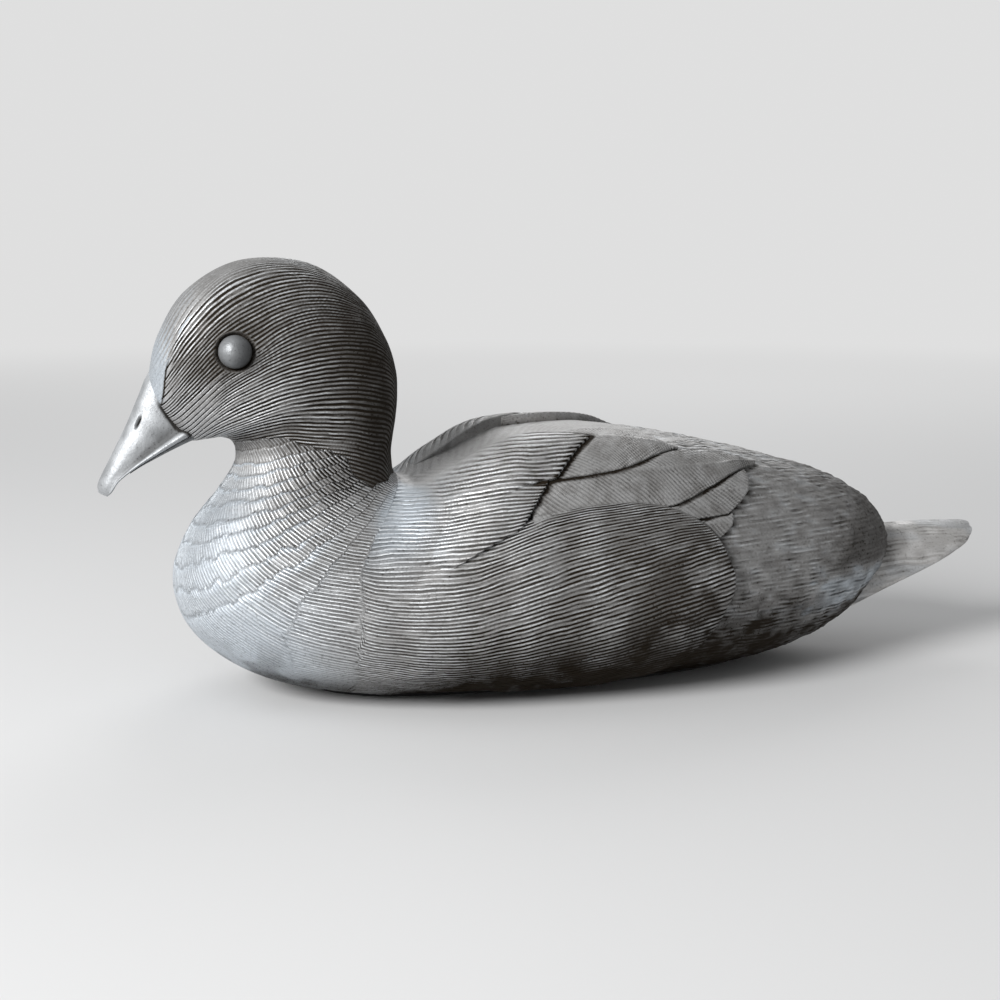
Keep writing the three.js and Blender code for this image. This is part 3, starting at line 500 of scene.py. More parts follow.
def head_carving(u, degrees, angle, point, wave):
    """Lines that sweep back from the face and down over the nape; the forehead's band is smooth and pale."""
    x, z = point[..., 0], point[..., 2]
    half_band = np.interp(u, *FOREHEAD)
    inner = half_band - 22 * ease(u, 24.2, 23) - 3
    forehead = ease(u, 21.2, 21.9) * ease(degrees, half_band + 2, inner)
    band_edge = bell(degrees, half_band, 6) * ease(u, 21.5, 22.2)
    chips = band_edge * ease(noise(point, 2.2, 20), 0.35, 0.6)
    joint = ease(u, 23.5, 24.2) * bell(degrees, half_band + 2, 3.5)
    (mask_x, mask_z), mask_slope, (mask_along, mask_across) = EYE_MASK
    turned = ((x - mask_x) + 1j * (z - mask_z)) * np.exp(-1j * mask_slope * DEGREE)
    mask = bell(turned.real, 0, mask_along) * bell(turned.imag, 0, mask_across)
    crown = ease(u, 21.8, 20) * ease(degrees, 95, 55)
    nape = ease(x, -70, -48)
    # Painted highlight on the cheek, which faces the light.
    cheek_highlight = ease(x, -66, -80) * ease(z, 100, 92) * ease(u, 17.5, 18.5)
    flow = head_flow(point)
    phase = (flow - arc(u, angle, LEVELLED)) / HEAD_PITCH + 0.35 * wave
    # where the lines crowd, every second one ends
    changes = [head_flow(point + move) - flow for move in ((FLOW_STEP, 0, 0), (0, 0, FLOW_STEP))]
    number = np.floor(phase + 0.5)
    crowd = np.log2(np.hypot(*changes) / FLOW_STEP)
    crowd = crowd + 0.4 * (noise(number[..., None] * LINE_SHIFT, 5, 23) - 0.5)
    ended = np.where(number % 2 == 1, ease(crowd, 0.35, 0.6), 0)
    ended = np.where(number % 4 == 2, ease(crowd, 1.3, 1.6), ended)
    # Painted shadow under the jaw, on the head's side of its edge.
    jaw_shadow = ease(flow, 35, 39) * ease(x, -60, -75)
    patina = 0.75 * mask + 0.42 * crown + 0.35 * nape - 0.1 * cheek_highlight + 0.3 * jaw_shadow - 0.02
    return Carving(
        u.shape,
        phase=phase,
        strength=(1 - 0.93 * forehead) * (1 - 0.5 * nape) * (1 - ended),
        soot=0.95,
        patina=np.maximum(patina * (1 - forehead), joint),
        rub=0.55 + 0.6 * cheek_highlight + chips - 0.4 * nape - 0.25 * mask - 0.3 * jaw_shadow + 0.4 * forehead,
        pale=(0.1 * cheek_highlight + forehead * (0.25 + 0.6 * ease(u, 23.4, 24.4)) + 0.6 * chips
              + 0.45 * ended),
    )


def carving(u, angle, point, rump_start=RUMP_START):
    """The carving at points of the skin."""
    u, angle = np.broadcast_arrays(np.asarray(u, float), np.asarray(angle, float))
    degrees = np.abs(angle) / DEGREE
    wave = noise(point, 7, 1) + 0.4 * noise(point, 2.4, 25) - 0.7
    at = (u, degrees, angle, point, wave)
    carved = flank_carving(*at).under(rump_carving(*at), u < rump_start + 0.2 * wave)
    on_side = TIER_ENDS[0] + TIER_LEAN * (TIER_FRONT_X - point[..., 0])
    place = on_side + (u - on_side) * ease(u, 10.2, 12)
    place = place + 0.22 * (noise(point, 5, 4) - 0.5) + 0.12 * (noise(point, 1.6, 17) - 0.5)
    carved = carved.under(tier_carving(*at, place), place >= TIER_ENDS[0])
    on_head = u > np.interp(degrees, *HEAD_EDGE) + 0.5 * (noise(point, 3, 5) - 0.5)
    carved = carved.under(head_carving(*at), on_head)

    # each groove and ridge comes and goes along its length
    groove = noise(point + np.floor(carved.phase + 0.5)[..., None] * LINE_SHIFT, 6, 21)
    ridge = noise(point + np.floor(carved.phase)[..., None] * LINE_SHIFT, 3, 22)
    strength = carved.strength * (0.5 + 0.7 * ease(groove, 0.15, 0.65))
    return carved.changed(strength=strength, rub=np.clip(carved.rub + 1.5 * (ridge - 0.5), 0, 1))


# ---- Mesh pieces ----
STRIP_GAP = 0.03  # share of a strip of the map left free on each side
STRIP_MARGIN = 0.01  # of the map, left free at a strip's ends


def in_scene(name, data):
    """An object made of the data, in the scene."""
    item = bpy.data.objects.new(name, data)
    bpy.context.scene.collection.objects.link(item)
    return item


def corners_of(grid):
    """The four corners of each cell of a grid."""
    cells = np.stack([grid[:-1, :-1], grid[1:, :-1], grid[1:, 1:], grid[:-1, 1:]], axis=2)
    return cells.reshape(-1, 4, *grid.shape[2:])


class Shell:
    """Collects closed surfaces into one mesh piece, with the carving's values at each vertex."""

    def __init__(self):
        self.vertices = []  # in batches: points, normals, lines and tones
        self.faces, self.maps = [], []  # of each surface: corners of the faces, their places in the map
        self.count = 0

    def add_points(self, points, normals, carving):
        """Adds vertices and returns their numbers, in the shape of the grid that they come in."""
        numbers = np.arange(points[..., 0].size).reshape(points.shape[:-1]) + self.count
        parts = (points, normals, carving.lines(), carving.tones())
        self.vertices.append([part.reshape(-1, 3) for part in parts])
        self.count += numbers.size
        return numbers

    def add_faces(self, corners, places, turned):
        """Adds a surface: the vertices at the corners of its faces, and where these lie on the map."""
        step = -1 if turned else 1
        self.faces.append(corners[:, ::step])
        self.maps.append(places[:, ::step])

    def add_grid(self, numbers, turned=False):
        """Adds the faces of a grid of vertices; turned ones face the other way."""
        shares = [np.linspace(0, 1, count) for count in numbers.shape]
        places = np.stack(np.meshgrid(*shares, indexing="ij"), -1)
        self.add_faces(corners_of(numbers), corners_of(places), turned)

    def add_fan(self, ring, centre, normal, carving, turned=False):
        """Closes a ring of vertices with faces that meet at its centre."""
        middle = self.add_points(centre[None], normal[None], carving)
        corners = np.stack([np.full(len(ring), middle[0]), ring, np.roll(ring, -1)], -1)
        angle = np.linspace(0, 2 * np.pi, len(ring) + 1)
        rim = 0.5 + 0.5 * np.stack([np.cos(angle), np.sin(angle)], -1)
        places = np.stack([np.full((len(ring), 2), 0.5), rim[:-1], rim[1:]], 1)
        self.add_faces(corners, places, turned)

    def add_tube(self, grid, carving, normals=None):
        """Adds a grid whose columns run round it, closed at both ends."""
        normals = normals_of(grid, wrap=True) if normals is None else normals
        numbers = self.add_points(grid, normals, carving)
        self.add_grid(np.hstack([numbers, numbers[:, :1]]))
        for row, inner, turned in ((0, 1, False), (-1, -2, True)):
            centre = grid[row].mean(axis=0)
            direction = unit(centre - grid[inner].mean(axis=0))
            self.add_fan(numbers[row], centre, direction, carving[row, :1], turned)

    def unwrapped(self):
        """The map: each surface in a strip of its own, as wide as the root of its number of faces."""
        widths = np.sqrt([len(faces) for faces in self.faces])
        edges = running(widths) / widths.sum()
        placed = []
        for places, low, high in zip(self.maps, edges, edges[1:]):
            gap = STRIP_GAP * (high - low)
            across = low + gap + places[..., 1] * (high - low - 2 * gap)
            along = STRIP_MARGIN + (1 - 2 * STRIP_MARGIN) * places[..., 0]
            placed.append(np.stack([across, along], -1).reshape(-1, 2))
        return np.concatenate(placed).astype(np.float32)

    def build(self, name, node, slot, material):
        """Makes the mesh piece, which stands for a node of the CAD."""
        points, normals, lines, tones = (np.concatenate(parts) for parts in zip(*self.vertices))
        loops = np.concatenate([faces.ravel() for faces in self.faces])
        sizes = np.concatenate([np.full(len(faces), faces.shape[1]) for faces in self.faces])
        mesh = bpy.data.meshes.new(name)
        mesh.vertices.add(self.count)
        mesh.vertices.foreach_set("co", (points * MM).ravel())
        mesh.loops.add(len(loops))
        mesh.loops.foreach_set("vertex_index", loops.astype(np.int32))
        mesh.polygons.add(len(sizes))
        mesh.polygons.foreach_set("loop_start", (np.cumsum(sizes) - sizes).astype(np.int32))
        mesh.polygons.foreach_set("use_smooth", np.ones(len(sizes), bool))
        mesh.update(calc_edges=True)
        for attribute, values in (("carve", lines), ("tone", tones)):
            layer = mesh.attributes.new(attribute, "FLOAT_VECTOR", "POINT")
            layer.data.foreach_set("vector", values.astype(np.float32).ravel())
        mesh.uv_layers.new(name="OFBake").data.foreach_set("uv", self.unwrapped().ravel())
        mesh.normals_split_custom_set_from_vertices(normals.astype(np.float32))
        mesh.materials.append(material)
        piece = in_scene(name, mesh)
        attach(piece, "root")
        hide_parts(node)


def smooth_piece(name, node, material, grid, carving):
    """A piece of one tube in smooth pewter."""
    shell = Shell()
    shell.add_tube(grid, carving)
    shell.build(name, node, "smooth_pewter", material)


def raised(grid, normals, carving):
    return grid + normals * carving.relief()[..., None]


# ---- Body and head ----
REAR_COLUMNS = 700
FRONT_COLUMNS = 920
HEAD_COLUMNS = 490
REAR_ROWS = 90
FRONT_ROWS = 116
HEAD_PARTS = ((NECK, 20, 110), (20, FACE, 80), (FACE, LAST, 14))  # from station, to station, rows
JOIN = 8.6  # station where the rear and front meshes of the body meet
PLATE_OUTLINE = (-66, 70.5, 21.4)  # base plate with its gap: lowest and highest X, half width
PLATE_TOP = 4.2
EYE_STATION = 21.65
EYE_ANGLE = 83 * DEGREE
EYE_RADIUS = 4.75
EYE_RECESS = 1.5
EYE_RIM = (5.8, 5)  # from the eye's middle, where the recess starts and where it has its full depth
EYE_RING = (6.6, 5.1)  # the same for the ring of painted shade round the recess
EYE_DEPTH = 12  # how far from the eye's level the head's skin belongs to that side
CREASE = 1.9  # reach of the sunk hollow and its painted shade beside a feather's edge
CREASE_DEPTH = 0.5
JOINT = 1.3  # reach of the dark line between bill and face
FACE_GRID = (60, 160)  # points of the face beside which that line runs


def even_angles(u, columns):
    """Angles that divide the section at each station of u into even lengths."""
    angles = np.zeros((len(u), columns))
    shares = np.arange(columns) / columns * 2 - 1  # from the belly over the right side, back and left side
    for row, station in enumerate(u):
        lengths = arc(np.full(ARC_ANGLES.shape, station), ARC_ANGLES)
        angles[row] = np.sign(shares) * np.interp(np.abs(shares) * lengths[-1], lengths, ARC_ANGLES)
    return angles


def eye_frame(side):
    """Centre on the skin and outward direction of an eye."""
    angle = EYE_ANGLE * side
    along = skin(EYE_STATION + STEP, angle) - skin(EYE_STATION - STEP, angle)
    around = skin(EYE_STATION, angle + STEP) - skin(EYE_STATION, angle - STEP)
    return skin(EYE_STATION, angle), unit(np.cross(along, around))


def sink_eyes(grid, normals, carved):
    """Presses the round recess of each eye into the head and paints shade on its rim."""
    push = np.zeros(grid.shape[:-1])
    dark = np.zeros(grid.shape[:-1])
    for side in SIDES.values():
        at, out = eye_frame(side)
        offset = grid - at
        rise = offset @ out
        distance = np.linalg.norm(offset - rise[..., None] * out, axis=-1)
        near = np.abs(rise) < EYE_DEPTH
        push = np.where(near, np.maximum(push, EYE_RECESS * ease(distance, *EYE_RIM)), push)
        dark = np.where(near, np.maximum(dark, ease(distance, *EYE_RING)), dark)
    strength = carved.strength * ease(dark, 0.6, 0)
    carved = carved.changed(strength=strength, patina=np.maximum(carved.patina, 0.95 * dark))
    return grid - normals * push[..., None], carved


def crease(points, edges, reach):
    """1 at the edges, falling to 0 beside them; an edge point's fourth value is its share of the reach."""
    tree = KDTree(len(edges))
    for number, point in enumerate(edges):
        tree.insert(point[:3], number)
    tree.balance()
    found = [tree.find(point)[1:] for point in points.reshape(-1, 3)]
    nearest, distances = (np.array(values) for values in zip(*found))
    share = edges[nearest, 3]
    width = np.maximum(reach * share, 0.05)
    dark = ease(distances / width, 1, 0.35) * ease(share, 0, 0.4)
    return dark.reshape(points.shape[:-1])


def creased_and_shaded(carved, points, edges):
    """The carving sunk beside the edges, with painted shade there."""
    dark = crease(points, edges, CREASE)
    return carved.changed(
        strength=carved.strength * (1 - 0.8 * dark), height=carved.height - CREASE_DEPTH * dark,
        patina=np.maximum(carved.patina, dark),
    )


def carved_skin(u, columns, edges=None):
    """A closed shell of the skin between the first and last station of u, sunk beside the edges and painted
    with shade there.
    """
    # one more row at each end, for the normals there
    stations = np.clip(np.concatenate([[2 * u[0] - u[1]], u, [2 * u[-1] - u[-2]]]), 0, LAST)
    inside = slice(1, -1)
    angles = even_angles(stations, columns)
    stations = np.repeat(stations[:, None], columns, 1)
    plain_grid = skin(stations, angles)
    carved = carving(stations, angles, plain_grid)
    if edges is not None:
        carved = creased_and_shaded(carved, plain_grid, edges)
    normals = normals_of(plain_grid, wrap=True)
    if u[-1] > EYE_STATION:
        plain_grid, carved = sink_eyes(plain_grid, normals, carved)
    grid = raised(plain_grid, normals, carved)
    low_x, high_x, half = PLATE_OUTLINE
    over_plate = (grid[..., 0] > low_x) & (grid[..., 0] < high_x) & (np.abs(grid[..., 1]) < half)
    grid[..., 2] = np.maximum(grid[..., 2], np.where(over_plate, PLATE_TOP, REST_Z))
    normals = normals_of(grid, wrap=True)
    shell = Shell()
    shell.add_tube(grid[inside], carved[inside], normals[inside])
    return shell


# ---- Feathers laid on the skin ----
VANE_LIFT = 2.9
VANE_STEP = 0.7
VANE_CAMBER = 0.5
SHOULDER_LIFT = 3.6
FLANK_LIFT = 2.8
FEATHER_DEPTH = 2.2  # how far a feather's wall goes into the body
COVER = 1  # how deep under the skin a feather that fades in starts
EDGE_ROUNDING = 0.8  # share of a full round that its edges have
TIP_START = 0.8  # share of its length from which the tip sinks
BARB_PITCH = 1.05
BARB_ANGLE = 38 * DEGREE
SHAFT_SHARE = 0.42  # place of the shaft across a wing feather


def border(grid):
    """The first row, last column, last row and first column of a grid, in one round."""
    return np.concatenate([grid[0], grid[1:, -1], grid[-1, -2::-1], grid[-2:0:-1, 0]])


def distances(base):
    """Distances over a feather's grid: from its front, from its upper edge, and to any edge but the front."""
    across = running(np.linalg.norm(np.diff(base, axis=1), axis=-1))
    steps = np.linalg.norm(np.diff(base.mean(axis=1), axis=0), axis=-1)
    along = running(steps)[:, None] * np.ones(across.shape)
    to_side = np.minimum(across, across[:, -1:] - across)
    return along, across, np.minimum(to_side, along[-1:] - along)


class Feather:
    """A strip between two edges drawn on the skin, each a list of (station, degrees from the back)."""

    def __init__(self, upper, lower, lift, fade=0.0, rim=0.5, rows=60, columns=40, bulge=0.0, tip_drop=0.0,
                 shades=(1.0, 0.45)):
        self.upper, self.lower = upper, lower
        self.lift, self.fade, self.rim = lift, fade, rim
        self.bulge, self.tip_drop = bulge, tip_drop  # roundness of the tip in stations, how far it sinks
        self.shades = shades  # width of the painted shade beside the edges at the front and at the tip, as shares
        self.along = 1 - (1 - np.linspace(0, 1, rows)) ** 1.35  # closer rows near the tip
        self.across = 0.5 - 0.5 * np.cos(np.pi * np.linspace(0, 1, columns))

    def places(self, side):
        """Station and angle of the grid from the front to the tip and from the upper edge to the lower."""
        upper, lower = spline(self.upper, self.along), spline(self.lower, self.along)
        b = self.across[None, :, None]
        place = upper[:, None] * (1 - b) + lower[:, None] * b
        place[..., 0] -= self.bulge * self.along[:, None] ** 6 * np.sin(np.pi * b[..., 0])
        return place[..., 0], side * place[..., 1] * DEGREE

    def shade(self):
        """Share of the painted shade's width at each row."""
        front, tip = self.shades
        return front + (tip - front) * ease(self.along, 0.72, 0.93)

    def outline(self, side):
        """Points of the edges on the skin, each with its share of the painted shade's width."""
        base = skin(*self.places(side))
        share = self.shade()
        lines = [(base[:, 0], share), (base[:, -1], share), (base[-1], share[-1])]
        return np.concatenate([np.insert(points, 3, width, axis=1) for points, width in lines])

    def height(self, to_edge):
        """Height over the skin: cambered, rounded at the edges and sinking at the tip."""
        inward = np.minimum(to_edge, self.rim)
        rounding = self.rim - np.sqrt(inward * (2 * self.rim - inward))
        rise = ease(self.along, 0, self.fade)[:, None] if self.fade else 1
        camber = VANE_CAMBER * np.sin(np.pi * self.across)
        drop = self.tip_drop * ease(self.along, TIP_START, 1)[:, None]
        return (self.lift + COVER) * rise - COVER + camber - EDGE_ROUNDING * rounding - drop

    def add_to(self, shell, side, carve, edges=None):
        """Adds the feather to a shell, sunk and painted with shade beside the edges of the feathers that lie
        over it.
        """
        u, angle = self.places(side)
        base = skin(u, angle)
        along, across, to_edge = distances(base)
        carved = carve(u, angle, base, along, across, to_edge)
        if edges is not None:
            carved = creased_and_shaded(carved, base, edges)
        plain_grid = skin(u, angle, self.height(to_edge))
        turned = side > 0
        flip = -1 if turned else 1
        grid = raised(plain_grid, flip * normals_of(plain_grid), carved)
        numbers = shell.add_points(grid, flip * normals_of(grid), carved)
        shell.add_grid(numbers, turned=turned)
        top = border(numbers)
        root = border(skin(u, angle, -FEATHER_DEPTH))
        outward = unit(border(grid) - grid[tuple(count // 2 for count in u.shape)])
        # Painted shade on the wall, darker towards its root, and on the fan that closes it.
        shade = border(np.broadcast_to(self.shade()[:, None], u.shape))
        low = shell.add_points(root, outward, Carving(shade.shape, patina=shade))
        wall = np.stack([np.append(top, top[0]), np.append(low, low[0])])
        shell.add_grid(wall.T, turned=turned)
        shell.add_fan(low, root.mean(axis=0), -outward.mean(axis=0), Carving((1,), patina=1), turned)


def long_lines(u, angle, base, along, across, to_edge):
    """The body's own lines carried on over a feather."""
    carved = carving(u, angle, base, rump_start=0)
    rim = ease(to_edge, 1.5, 0)
    return carved.changed(strength=carved.strength * (1 - 0.6 * rim))


def shoulder_lines(u, angle, base, along, across, to_edge):
    """The body's lines, cut deep and dark where they run out at the tip like the teeth of a comb."""
    carved = carving(u, angle, base, rump_start=0)
    tip = ease(along, 0.93 * along.max(), along.max())
    # Painted light: the shoulder feathers are made a little paler.
    return carved.changed(
        strength=carved.strength * (1 + 0.5 * tip), patina=carved.patina + 0.35 * tip, pale=carved.pale + 0.1,
    )


def barbs(u, angle, base, along, across, to_edge):
    """Fine lines that leave the shaft towards the edges."""
    shaft = across.max(axis=1, keepdims=True) * SHAFT_SHARE
    wave = noise(base, 5, 7) - 0.5
    quill = ease(np.abs(across - shaft), 0.55, 0.15)
    rim = ease(to_edge, 0.8, 0)
    return Carving(
        u.shape,
        phase=(across * np.cos(BARB_ANGLE) - along * np.sin(BARB_ANGLE) + 0.8 * wave) / BARB_PITCH,
        strength=(0.2 + 0.35 * ease(noise(base, 4, 8), 0.3, 0.8)) * (1 - quill),
        height=0.22 * quill,
        soot=0.8,
        patina=0.05 + 0.12 * noise(base, 6, 9),
        rub=np.clip(0.35 + quill + 0.5 * rim, 0, 1),
        pale=0.15 + 0.45 * ease(noise(base, 2.5, 25), 0.3, 0.75),
    )


SHOULDERS = [
    Feather(
        upper=[(9.4, 16), (8.2, 15), (7.2, 19), (6.40, 30)],
        lower=[(9.0, 52), (8.0, 49), (7.4, 46), (6.88, 44.5)],
        lift=SHOULDER_LIFT, fade=0.7, rim=0.8, rows=70, columns=120, shades=(0.0, 1.0),
    ),
    Feather(
        upper=[(9.2, 47), (8.2, 45), (7.4, 43), (6.86, 42)],
        lower=[(9.2, 70), (8.4, 66), (7.8, 61), (7.36, 58)],
        lift=SHOULDER_LIFT - VANE_STEP, fade=0.7, rim=0.8, rows=60, columns=80, shades=(0.0, 1.0),
    ),
]
FLANK = Feather(
    upper=[(10.3, 68), (9.0, 62), (7.9, 58), (6.9, 54.5), (6.1, 54), (5.55, 57.5), (5.2, 66), (4.98, 81)],
    lower=[(10.1, 122), (9.0, 130), (8.0, 136), (7.0, 139), (6.2, 139), (5.66, 130), (5.28, 111), (4.98, 87)],
    lift=FLANK_LIFT, fade=0.5, rim=1.3, rows=100, columns=220, shades=(0.2, 1.0),
)
WING_EDGES = [
    ([(7.3, 24), (6.3, 22), (5.44, 31)], [(7.3, 45), (6.43, 44), (6.0, 41), (5.5, 33)]),
    ([(7.2, 34), (5.8, 33), (4.9, 30), (4.34, 27)], [(7.2, 58), (5.9, 57), (5.2, 48), (4.36, 29)]),
    ([(6.5, 48), (5.4, 42), (4.58, 35)], [(6.5, 64), (5.6, 61), (4.97, 57)]),
    ([(6.5, 56), (5.6, 54), (4.93, 53)], [(6.5, 72), (5.8, 71), (5.22, 69)]),
]
VANE_BULGES = (0.05, 0.0, 0.14, 0.14)
VANE_TIP_DROPS = (0.8, 1.2, 0.2, 0.1)
VANES = [
    Feather(upper, lower, VANE_LIFT - k * VANE_STEP, rim=0.4, rows=60, columns=40, bulge=bulge, tip_drop=drop)
    for k, ((upper, lower), bulge, drop) in enumerate(zip(WING_EDGES, VANE_BULGES, VANE_TIP_DROPS))
]


# ---- Tail fan ----
TAIL_LENGTH = 56
TAIL_ROOT_X = body_x(1) - 24
TAIL_PAIRS = 3
TAIL_PITCH = 5.4
TAIL_FEATHER_WIDTH = 11.5
TAIL_THICKNESS = 2.4
TAIL_STEP = 0.7
TAIL_SIDE_LENGTH = 5
TAIL_SCALLOP = 1.4
TAIL_ARCH = 18
TAIL_CREST = [(0.475,), (0.508,), (0.52,), (0.515,)]  # heights of the fan's middle line, as shares
TAIL_HALF_SPAN = TAIL_PAIRS * TAIL_PITCH + TAIL_FEATHER_WIDTH / 2
TAIL_SAG = TAIL_ARCH / TAIL_HALF_SPAN**2
TAIL_ROWS = 50
TAIL_COLUMNS = 24
TAIL_LINE_PITCH = 1.3


def tail_point(x, y, rise):
    """A point at a height over the arched middle surface of the fan."""
    crest = body_z(spline(TAIL_CREST, (x - TAIL_ROOT_X) / TAIL_LENGTH)[..., 0])
    lean = np.sqrt(1 + (2 * TAIL_SAG * y) ** 2)
    return np.stack([x, y + rise * 2 * TAIL_SAG * y / lean, crest - TAIL_SAG * y**2 + rise / lean], -1)


def add_tail_feather(shell, number):
    a, b = np.meshgrid(np.linspace(0, 1, TAIL_ROWS), np.sin(np.linspace(-1, 1, TAIL_COLUMNS) * np.pi / 2),
                       indexing="ij")
    y = number * TAIL_PITCH + b * TAIL_FEATHER_WIDTH / 2
    cut_back = (TAIL_LENGTH - TAIL_SIDE_LENGTH) * np.abs(y / TAIL_HALF_SPAN) ** 3
    x = TAIL_ROOT_X + a * (TAIL_LENGTH - cut_back - TAIL_SCALLOP * b**2)
    drop = abs(number) * TAIL_STEP
    half = TAIL_THICKNESS / 2 * (1 - 0.4 * a)
    to_tip = (1 - a) * TAIL_LENGTH
    thin = 0.55 * ease(to_tip, 2, 0) + 0.35 * ease(np.abs(b), 0.9, 1)
    plain_top = tail_point(x, y, half * (1 - thin) - 0.5 * b**2 - drop)
    shaft = ease(np.abs(b), 0.09, 0.03)
    wave = noise(plain_top, 6, 11) - 0.5
    phase = b * TAIL_FEATHER_WIDTH / 2 / TAIL_LINE_PITCH + 0.7 * wave
    strength = 0.55 * ease(noise(plain_top * (0.3, 1, 1), 3, 12), 0.35, 0.7) * (1 - shaft)
    # Painted shadow on the tail under the rump's end.
    rump_shadow = ease(x, 124, 116) * ease(np.abs(y), 15, 9)
    carved = Carving(
        x.shape, phase=phase, strength=strength, height=0.15 * shaft, soot=0.8, rub=0.5 + 0.5 * shaft,
        patina=0.8 * rump_shadow + 0.3 * ease(noise(plain_top, 4, 15), 0.4, 0.75),
        pale=0.4 + 0.5 * ease(noise(plain_top * (0.4, 1, 1), 3.5, 24), 0.35, 0.7),
    )
    grid = raised(plain_top, normals_of(plain_top), carved)
    top = shell.add_points(grid, normals_of(grid), carved)
    # Painted shade on the tail's underside.
    low_grid = tail_point(x, y, -half * (1 - thin) - 0.1 * abs(number) - drop)
    low = shell.add_points(low_grid, -normals_of(low_grid), Carving(x.shape, patina=0.35))
    shell.add_grid(top)
    shell.add_grid(low, turned=True)
    for side, turned in ((np.s_[0], False), (np.s_[-1], True), (np.s_[:, 0], True), (np.s_[:, -1], False)):
        shell.add_grid(np.stack([top[side], low[side]]).T, turned=turned)


# ---- Bill ----
BILL_LENGTH = 39
BILL_WIDTH = 19.4
# Ridge and lip, each forward and up from the top of the face in shares of the length, and share of the width
BILL_STATIONS = [
    (-0.136, 0.077, -0.392, -0.423, 0.88),
    (0, 0, -0.277, -0.462, 0.99),
    (0.092, -0.192, -0.144, -0.533, 0.95),
    (0.179, -0.385, -0.005, -0.615, 0.86),
    (0.277, -0.577, 0.133, -0.703, 0.75),
    (0.359, -0.731, 0.249, -0.795, 0.65),
    (0.405, -0.831, 0.305, -0.88, 0.51),
    (0.405, -0.892, 0.34, -0.92, 0.25),
]
# Down the side from the ridge to the lip: depth, then half width near the head and near the tip
BILL_SIDE = [
    (0, 0, 0), (0.07, 0.3, 0.4), (0.22, 0.5, 0.66), (0.45, 0.62, 0.84),
    (0.7, 0.64, 0.93), (0.84, 0.72, 0.97), (0.93, 0.99, 1), (1, 0.97, 0.94),
]
PALATE = 0.9  # depth of the upper bill's underside
LOWER_BILL_THICKNESS = 2.2
LOWER_BILL_TAPER = (1.1, 1.6)  # share of the thickness at the head, and how fast it falls along the bill
LOWER_BILL_ROUNDNESS = (0.7, 0.8)  # across and down: 1 is round, less is squarer
LOWER_BILL_SHARE = 0.86  # of the upper bill's width
LOWER_BILL_ENDS = (0.1, 0.62)  # shares along the bill
LOWER_BILL_GAP = 0.3
NOSTRIL = (0.37, 0.21)  # along the bill, depth from the ridge
NOSTRIL_SLOPE = (0.4, 0.5)  # part of the bill whose ridge it lies along
NOSTRIL_SIZE = (2.3, 0.5, 0.9)  # half length, half height, depth
BILL_ROWS = 110
BILL_COLUMNS = 50
LOWER_BILL_ROWS = 70
LOWER_BILL_COLUMNS = 48


def bill_lines(t):
    """Ridge, lip and half width at shares t along the bill."""
    row = spline(BILL_STATIONS, t)
    base = skin(FACE, 0.0)
    ridge, lip = (
        base + BILL_LENGTH * np.stack([-row[..., k], 0 * row[..., k], row[..., k + 1]], -1) for k in (0, 2)
    )
    return ridge, lip, row[..., 4] * BILL_WIDTH / 2


def upper_bill(material):
    t = np.linspace(0, 1, BILL_ROWS)[:, None]
    down = np.linspace(0, 1, BILL_COLUMNS)
    side = spline(BILL_SIDE, down)
    ridge, lip, half = bill_lines(t[:, 0])
    depth = side[:, 0][None, :, None]
    width = side[:, 1] * (1 - t) + side[:, 2] * t
    right = ridge[:, None] * (1 - depth) + lip[:, None] * depth
    right[..., 1] = half[:, None] * width
    left = right * (1, -1, 1)
    palate = (ridge * (1 - PALATE) + lip * PALATE)[:, None]
    # round the ring: down the left side, over the palate, up the right side
    plain_grid = np.concatenate([left, palate, right[:, :0:-1]], axis=1)
    normals = normals_of(plain_grid, wrap=True)
    slope = unit(np.diff(bill_lines(NOSTRIL_SLOPE)[0], axis=0)[0])
    hole_ridge, hole_lip, _ = bill_lines(NOSTRIL[0])
    hole = hole_ridge * (1 - NOSTRIL[1]) + hole_lip * NOSTRIL[1]
    offset = plain_grid * (1, 0, 1) - hole
    across = np.cross(slope, (0, 1, 0))
    far = np.hypot(offset @ slope / NOSTRIL_SIZE[0], offset @ across / NOSTRIL_SIZE[1])
    # The nostril is sunk, and painted shade darkens it.
    nostril = ease(far, 1.1, 0.5)
    rows, columns = FACE_GRID
    face = skin(np.linspace(FACE - 3, LAST, rows)[:, None], np.linspace(-np.pi, np.pi, columns)[None])
    place = np.concatenate([down, [1], down[:0:-1]])[None]
    joint = crease(plain_grid, np.insert(face.reshape(-1, 3), 3, 1, axis=1), JOINT) * ease(place, 0.3, 0.42)
    shadow = ease(place, 0.42, 0.68) * ease(place, 0.82, 0.76) * ease(t, 0.85, 0.45)
    patina = 0.75 * shadow + nostril + joint
    carved = Carving(patina.shape, height=-NOSTRIL_SIZE[2] * nostril, patina=patina)
    grid = raised(plain_grid, normals, carved)
    smooth_piece("upper_bill_smooth", "upper_bill", material, grid, carved)


